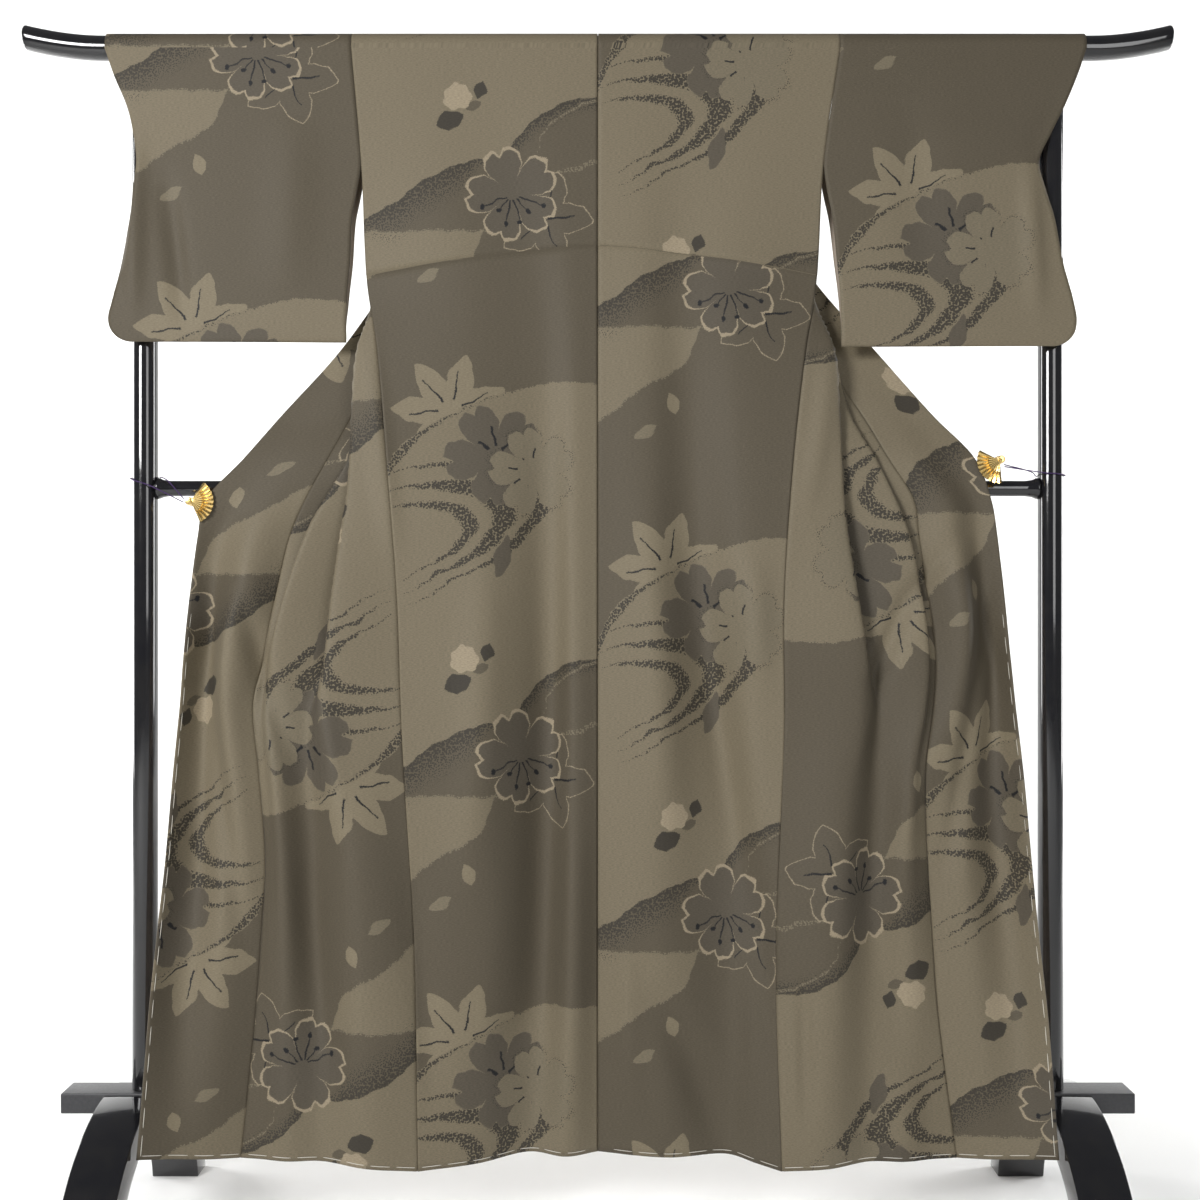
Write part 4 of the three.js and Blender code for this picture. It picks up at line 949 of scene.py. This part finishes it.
# --- Basting ------------------------------------------------------------------------------
# White cotton thread in a long running stitch holds the hem and the lower front edges flat. It
# is only passed through the silk, a few millimetres inside the edge.
basting_thread, _ = new_material("basting_thread", (0.50, 0.47, 0.40), 0.85)
uneven(basting_thread, 1800, 0.1, 0.0004, pale=(0.74, 0.71, 0.64))
STITCH_LONG, STITCH_STEP, THREAD_R, EDGE_IN, EDGE_TOP = 0.029, 0.035, 0.0005, 0.005, 0.88


def inside(edge, next_in):
    """Points and outward directions a stitch's way in from an edge, on its outer face."""
    (points, out), (further, out_in) = edge, next_in
    t = EDGE_IN / np.linalg.norm(further - points, axis=1)[:, None]
    return points + (further - points) * t + out * CLOTH / 2, out


def running_stitches(bm, points, out):
    """Thread tubes laid along a line of points; each one's ends dip into the cloth."""
    run = np.pad(np.cumsum(np.linalg.norm(np.diff(points, axis=0), axis=1)), (1, 0))
    for start in np.arange(0.004, run[-1] - STITCH_LONG, STITCH_STEP):
        spots = np.linspace(start, start + STITCH_LONG, 9)
        arch = np.sin(np.linspace(0, math.pi, 9)) ** 0.35
        middle, lift = (np.stack([np.interp(spots, run, p[:, k]) for k in range(3)], 1)
                        for p in (points, out))
        along = middle[-1] - middle[0]
        rings = []
        for centre, up, rise in zip(middle, lift, arch):
            beside = np.cross(up, along)
            beside /= np.linalg.norm(beside)
            centre = centre + up * THREAD_R * (rise - 0.6)
            rings.append([bm.verts.new(centre + THREAD_R * (0.3 + 0.7 * rise) * (
                beside * math.cos(a) + up * math.sin(a))) for a in np.linspace(0, math.tau, 7)[:-1]])
        for ring, following in zip(rings, rings[1:]):
            for k in range(6):
                bm.faces.new((ring[k], ring[k - 1], following[k - 1], following[k]))
        bm.faces.new(rings[0])
        bm.faces.new(rings[-1][::-1])


for side in SIGN:
    bm = bmesh.new()
    (panel, panel_out), (strip, strip_out) = laid["body_" + side], laid["overlap_" + side]
    low = strip[:, -1, 2] < EDGE_TOP
    seam = slice(0, FRONT_CELLS + 1)
    for edge, next_in in (
            ((panel[0], panel_out[0]), (panel[1], panel_out[1])),
            ((panel[-1, seam], panel_out[-1, seam]), (panel[-2, seam], panel_out[-2, seam])),
            ((strip[-1], strip_out[-1]), (strip[-2], strip_out[-2])),
            ((strip[low, -1], strip_out[low, -1]), (strip[low, -6], strip_out[low, -6]))):
        running_stitches(bm, *inside(edge, next_in))
    bmesh.ops.recalc_face_normals(bm, faces=bm.faces)
    stitches = new_piece("basting_" + side, bm, "basting_thread")
    stitches.data.materials.append(basting_thread)

# --- Stand --------------------------------------------------------------------------------
# Turned and bent wood under black gloss lacquer: a rail with turned-up tips, two posts, and a
# thin cross rail. Each post stands on a block let into the crown of a foot bent like a bow.
lacquer, lacquer_shader = new_material("black_lacquer", (0.006, 0.006, 0.008), 0.12)
lacquer_shader.inputs["Coat Weight"].default_value = 0.6
lacquer_shader.inputs["Coat Roughness"].default_value = 0.04
uneven(lacquer, 42, 0.05, 0.0004, pale=(0.010, 0.0095, 0.010))
satin, _ = new_material("satin_black", (0.03, 0.03, 0.033), 0.45)
uneven(satin, 260, 0.12, 0.0003, pale=(0.045, 0.045, 0.048))

RAIL_STRAIGHT, RAIL_HALF, RAIL_RISE = 0.690, 0.801, 0.015
POST_X, POST_R, CROSS_Z, CROSS_R = 0.6335, 0.0175, 1.040, 0.011
BLOCK_LENGTH, BLOCK_DEPTH, BLOCK_TOP, BLOCK_HEIGHT = 0.220, 0.048, 0.201, 0.028
FOOT_R, FOOT_THICK, FOOT_WIDTH, FOOT_CROWN, FOOT_OUT = 0.235, 0.042, 0.070, 0.200, 0.0145


def rod(profile, place, turn, segments=64):
    """A turned rod: (distance, radius) points spun about its axis, then turned and placed."""
    bm = bmesh.new()
    line = [bm.verts.new((radius, 0, along)) for along, radius in profile]
    edges = [bm.edges.new(pair) for pair in zip(line, line[1:])]
    bmesh.ops.spin(bm, geom=line + edges, cent=(0, 0, 0), axis=(0, 0, 1), angle=math.tau,
                   steps=segments, use_merge=True)
    bmesh.ops.remove_doubles(bm, verts=bm.verts, dist=1e-6)
    bmesh.ops.recalc_face_normals(bm, faces=bm.faces)
    bmesh.ops.transform(bm, matrix=Matrix.Translation(place) @ turn, verts=bm.verts)
    return bm


def rounded_rod(half, radius, edge, rings=1):
    """The profile of a plain rod with softly rounded ends."""
    corner = [(half - edge + edge * math.sin(a), radius - edge + edge * math.cos(a))
              for a in np.radians([0, 30, 60, 90])]
    body = [(x, radius) for x in np.linspace(-half + edge, half - edge, rings + 1)[1:-1]]
    return ([(-half, 0)] + [(-x, r) for x, r in corner[::-1]] + body + corner + [(half, 0)])


ALONG_X = Matrix.Rotation(math.radians(90), 4, "Y")
bm = rod(rounded_rod(RAIL_HALF, RAIL_R, 0.003, 160), (0, 0, RAIL_Z), ALONG_X)
for v in bm.verts:
    v.co.z += RAIL_RISE * (max(abs(v.co.x) - RAIL_STRAIGHT, 0) / (RAIL_HALF - RAIL_STRAIGHT)) ** 1.85
rail = new_piece("turned_rail", bm, "black_lacquer", "rail")
rail.data.materials.append(lacquer)

post_low, post_top = BLOCK_TOP + SEAM, RAIL_Z - RAIL_R - 2 * SEAM
cross_half = POST_X - POST_R - SEAM
for side, s in SIGN.items():
    bm = rod(rounded_rod((post_top - post_low) / 2, POST_R, 0.001),
             (s * POST_X, 0, (post_top + post_low) / 2), Matrix())
    post = new_piece("turned_post_" + side, bm, "black_lacquer", "post_" + side)
    post.data.materials.append(lacquer)

    bm = bmesh.new()
    seat = Matrix.Translation((s * POST_X, 0, BLOCK_TOP - BLOCK_HEIGHT / 2))
    bmesh.ops.create_cube(bm, size=1, matrix=seat @ Matrix.Diagonal(
        (BLOCK_LENGTH, BLOCK_DEPTH, BLOCK_HEIGHT, 1)))
    bmesh.ops.bevel(bm, geom=bm.edges[:], offset=0.002, offset_type="OFFSET", affect="EDGES", segments=3,
                    profile=0.5, material=-1)
    block = new_piece("planed_block_" + side, bm, "satin_black", "block_" + side)
    block.data.materials.append(satin)

flare = [(-cross_half, 0)] + [(-cross_half + inward, radius) for inward, radius in (
    (0, 0.015), (0.003, 0.0148), (0.009, 0.0122), (0.018, CROSS_R))]
bm = rod(flare + [(-x, r) for x, r in flare[::-1]], (0, 0, CROSS_Z), ALONG_X)
cross_rail = new_piece("turned_cross_rail", bm, "black_lacquer", "cross_rail")
cross_rail.data.materials.append(lacquer)


def foot_outline():
    """A foot seen from its end: a bow with a seat cut in its crown for the block."""
    centre_z = FOOT_CROWN - FOOT_R
    notch = BLOCK_DEPTH / 2 + SEAM
    inner = FOOT_R - FOOT_THICK
    low, inner_low = math.asin(-centre_z / FOOT_R), math.asin(-centre_z / inner)
    high = math.acos(notch / FOOT_R)

    def arc(radius, start, end, count):
        return [(radius * math.cos(a), centre_z + radius * math.sin(a))
                for a in np.linspace(start, end, count)]

    deep = BLOCK_TOP - BLOCK_HEIGHT - SEAM
    return (arc(FOOT_R, low, high, 40) + [(notch, deep), (-notch, deep)]
            + arc(FOOT_R, math.pi - high, math.pi - low, 40)
            + arc(inner, math.pi - inner_low, inner_low, 70))


for side, s in SIGN.items():
    bm = bmesh.new()
    start = s * (POST_X + FOOT_OUT) - FOOT_WIDTH / 2
    face = bm.faces.new([bm.verts.new((start, y, z)) for y, z in foot_outline()])
    grown = bmesh.ops.extrude_face_region(bm, geom=[face], use_keep_orig=True)
    bmesh.ops.translate(bm, verts=[g for g in grown["geom"] if isinstance(g, bmesh.types.BMVert)],
                        vec=(FOOT_WIDTH, 0, 0))
    bmesh.ops.recalc_face_normals(bm, faces=bm.faces)
    sharp = [e for e in bm.edges if e.calc_face_angle(0) > 0.5]
    bmesh.ops.bevel(bm, geom=sharp, offset=0.0018, offset_type="OFFSET", affect="EDGES", segments=3,
                    profile=0.5, material=-1)
    foot = new_piece("bent_foot_" + side, bm, "black_lacquer", "foot_" + side)
    foot.data.materials.append(lacquer)

# --- Clips --------------------------------------------------------------------------------
# A spring clip of gilt metal pinches each front edge: a small folding fan in front, a plain
# leaf behind, and a hinge barrel just beyond the cloth's edge.
gilt, gilt_shader = new_material("gilt_metal", (0.72, 0.50, 0.18), 0.25)
gilt_shader.inputs["Metallic"].default_value = 1
uneven(gilt, 700, 0.12, 0.0001, pale=(0.86, 0.63, 0.26))

CLIPS = {"left": (0.560, 1.020, -5), "right": (0.553, 1.076, -34)}
FAN_R, FAN_SPREAD, FAN_PLEATS, FAN_Y = 0.032, 61, 10, -0.0344
HINGE_R, HINGE_LONG, HINGE_Y = 0.0054, 0.012, -0.0276
LEAF_LONG, LEAF_HIGH, LEAF_THICK, LEAF_Y = 0.030, 0.012, 0.001, -0.021

for side, s in SIGN.items():
    x, z, turn = CLIPS[side]
    seat = (Matrix.Translation((s * x, 0, z)) @ Matrix.Diagonal((s, 1, 1, 1))
            @ Matrix.Rotation(math.radians(turn), 4, "Y"))
    bm = bmesh.new()
    bmesh.ops.create_grid(bm, x_segments=2 * FAN_PLEATS, y_segments=24, size=0.5)
    for v in bm.verts:
        step, out = round((v.co.x + 0.5) * 2 * FAN_PLEATS), v.co.y + 0.5
        angle = math.radians(FAN_SPREAD) * (step / FAN_PLEATS - 1)
        radius = 0.0015 + out * (FAN_R - 0.0015 - (0.0012 if step % 2 == 0 else 0))
        leaf_part = out > 0.49  # sticks near the pivot, and a thicker pleated leaf beyond them
        pleat = (0.0009 if leaf_part else 0.0004 * out * 2) * (1 if step % 2 else -1) + 0.0005 * leaf_part
        v.co = (-radius * math.cos(angle), FAN_Y - pleat, radius * math.sin(angle))
    bmesh.ops.create_uvsphere(bm, u_segments=16, v_segments=10, radius=0.0022,
                              matrix=Matrix.Translation((0.0008, FAN_Y - 0.0008, 0)))
    bmesh.ops.recalc_face_normals(bm, faces=bm.faces)
    bmesh.ops.transform(bm, matrix=seat, verts=bm.verts)
    fan = new_piece("pleated_fan_" + side, bm, "gilt_metal", "fan_" + side)
    fan.data.polygons.foreach_set("use_smooth", [False] * len(fan.data.polygons))
    fan.data.materials.append(gilt)
    wall = fan.modifiers.new("wall", "SOLIDIFY")
    wall.thickness, wall.offset = 0.0008, 0

    bm = rod(rounded_rod(HINGE_LONG / 2, HINGE_R, 0.0012), (0, 0, 0), Matrix())
    bmesh.ops.transform(bm, matrix=seat @ Matrix.Translation((HINGE_R - 0.002, HINGE_Y, 0))
                        @ Matrix.Rotation(math.radians(90), 4, "X"), verts=bm.verts)
    bmesh.ops.recalc_face_normals(bm, faces=bm.faces)
    hinge = new_piece("hinge_barrel_" + side, bm, "gilt_metal", "hinge_" + side)
    hinge.data.materials.append(gilt)

    bm = bmesh.new()
    behind_cloth = seat @ Matrix.Translation((HINGE_R - LEAF_LONG / 2, LEAF_Y, 0))
    bmesh.ops.create_cube(bm, size=1, matrix=behind_cloth @ Matrix.Diagonal(
        (LEAF_LONG, LEAF_THICK, LEAF_HIGH, 1)))
    bmesh.ops.bevel(bm, geom=bm.edges[:], offset=0.0003, offset_type="OFFSET", affect="EDGES", segments=2,
                    profile=0.5, material=-1)
    bmesh.ops.recalc_face_normals(bm, faces=bm.faces)
    leaf = new_piece("back_leaf_" + side, bm, "gilt_metal", "leaf_" + side)
    leaf.data.materials.append(gilt)

# --- Ties ---------------------------------------------------------------------------------
# A thin twisted purple cord runs from each hinge once round the post and back.
cord_purple, cord_shader = new_material("purple_cord", (0.05, 0.02, 0.10), 0.8)
cord = cord_purple.node_tree
cord_place = cord.nodes.new("ShaderNodeTexCoord")
twist = cord.nodes.new("ShaderNodeTexWave")
twist.bands_direction = "DIAGONAL"
twist.inputs["Scale"].default_value = 320
twist.inputs["Distortion"].default_value = 0.6
cord.links.new(cord_place.outputs["Object"], twist.inputs["Vector"])
cord.links.new(blend(cord, twist.outputs["Fac"], (0.028, 0.011, 0.055), (0.075, 0.032, 0.15)),
               cord_shader.inputs["Base Color"])
strand = cord.nodes.new("ShaderNodeBump")
strand.inputs["Distance"].default_value = 0.0004
cord.links.new(twist.outputs["Fac"], strand.inputs["Height"])
cord.links.new(strand.outputs[0], cord_shader.inputs["Normal"])
TIES = {
    "left": [(572, -29, 1019), (600, -25, 1033), (624, -21.5, 1044), (640, -19.4, 1049),
             (651, -10, 1053), (653.2, 3, 1055), (646, 15, 1056), (633, 19.6, 1056), (620, 15, 1056),
             (613.2, 5, 1056), (608, -6, 1055), (598, -14.5, 1050), (572, -27, 1024)],
    "right": [(561, -29, 1068), (596, -25, 1063), (622, -21.5, 1060), (639, -19.4, 1059),
              (650, -11, 1058), (653.2, 2, 1058), (646, 15, 1058), (633, 19.6, 1058), (620, 15, 1058),
              (613.2, 5, 1059), (607, -8, 1061), (594, -19, 1064), (561, -27, 1071)],
}
for side, s in SIGN.items():
    route = through(np.array(TIES[side], float)[:, None] * MM * (s, 1, 1), 160)[0]
    curve = bpy.data.curves.new("tie_" + side, "CURVE")
    curve.dimensions = "3D"
    spline = curve.splines.new("POLY")
    spline.points.add(len(route) - 1)
    spline.points.foreach_set("co", np.append(route, np.ones((len(route), 1)), axis=1).ravel())
    curve.bevel_depth = 0.0008
    curve.bevel_resolution = 3
    curve.use_fill_caps = True
    tie = bpy.data.objects.new("tie_cord_" + side, curve)
    bpy.context.scene.collection.objects.link(tie)
    curve.materials.append(cord_purple)
    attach(tie, "root")
    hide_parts("tie_" + side)
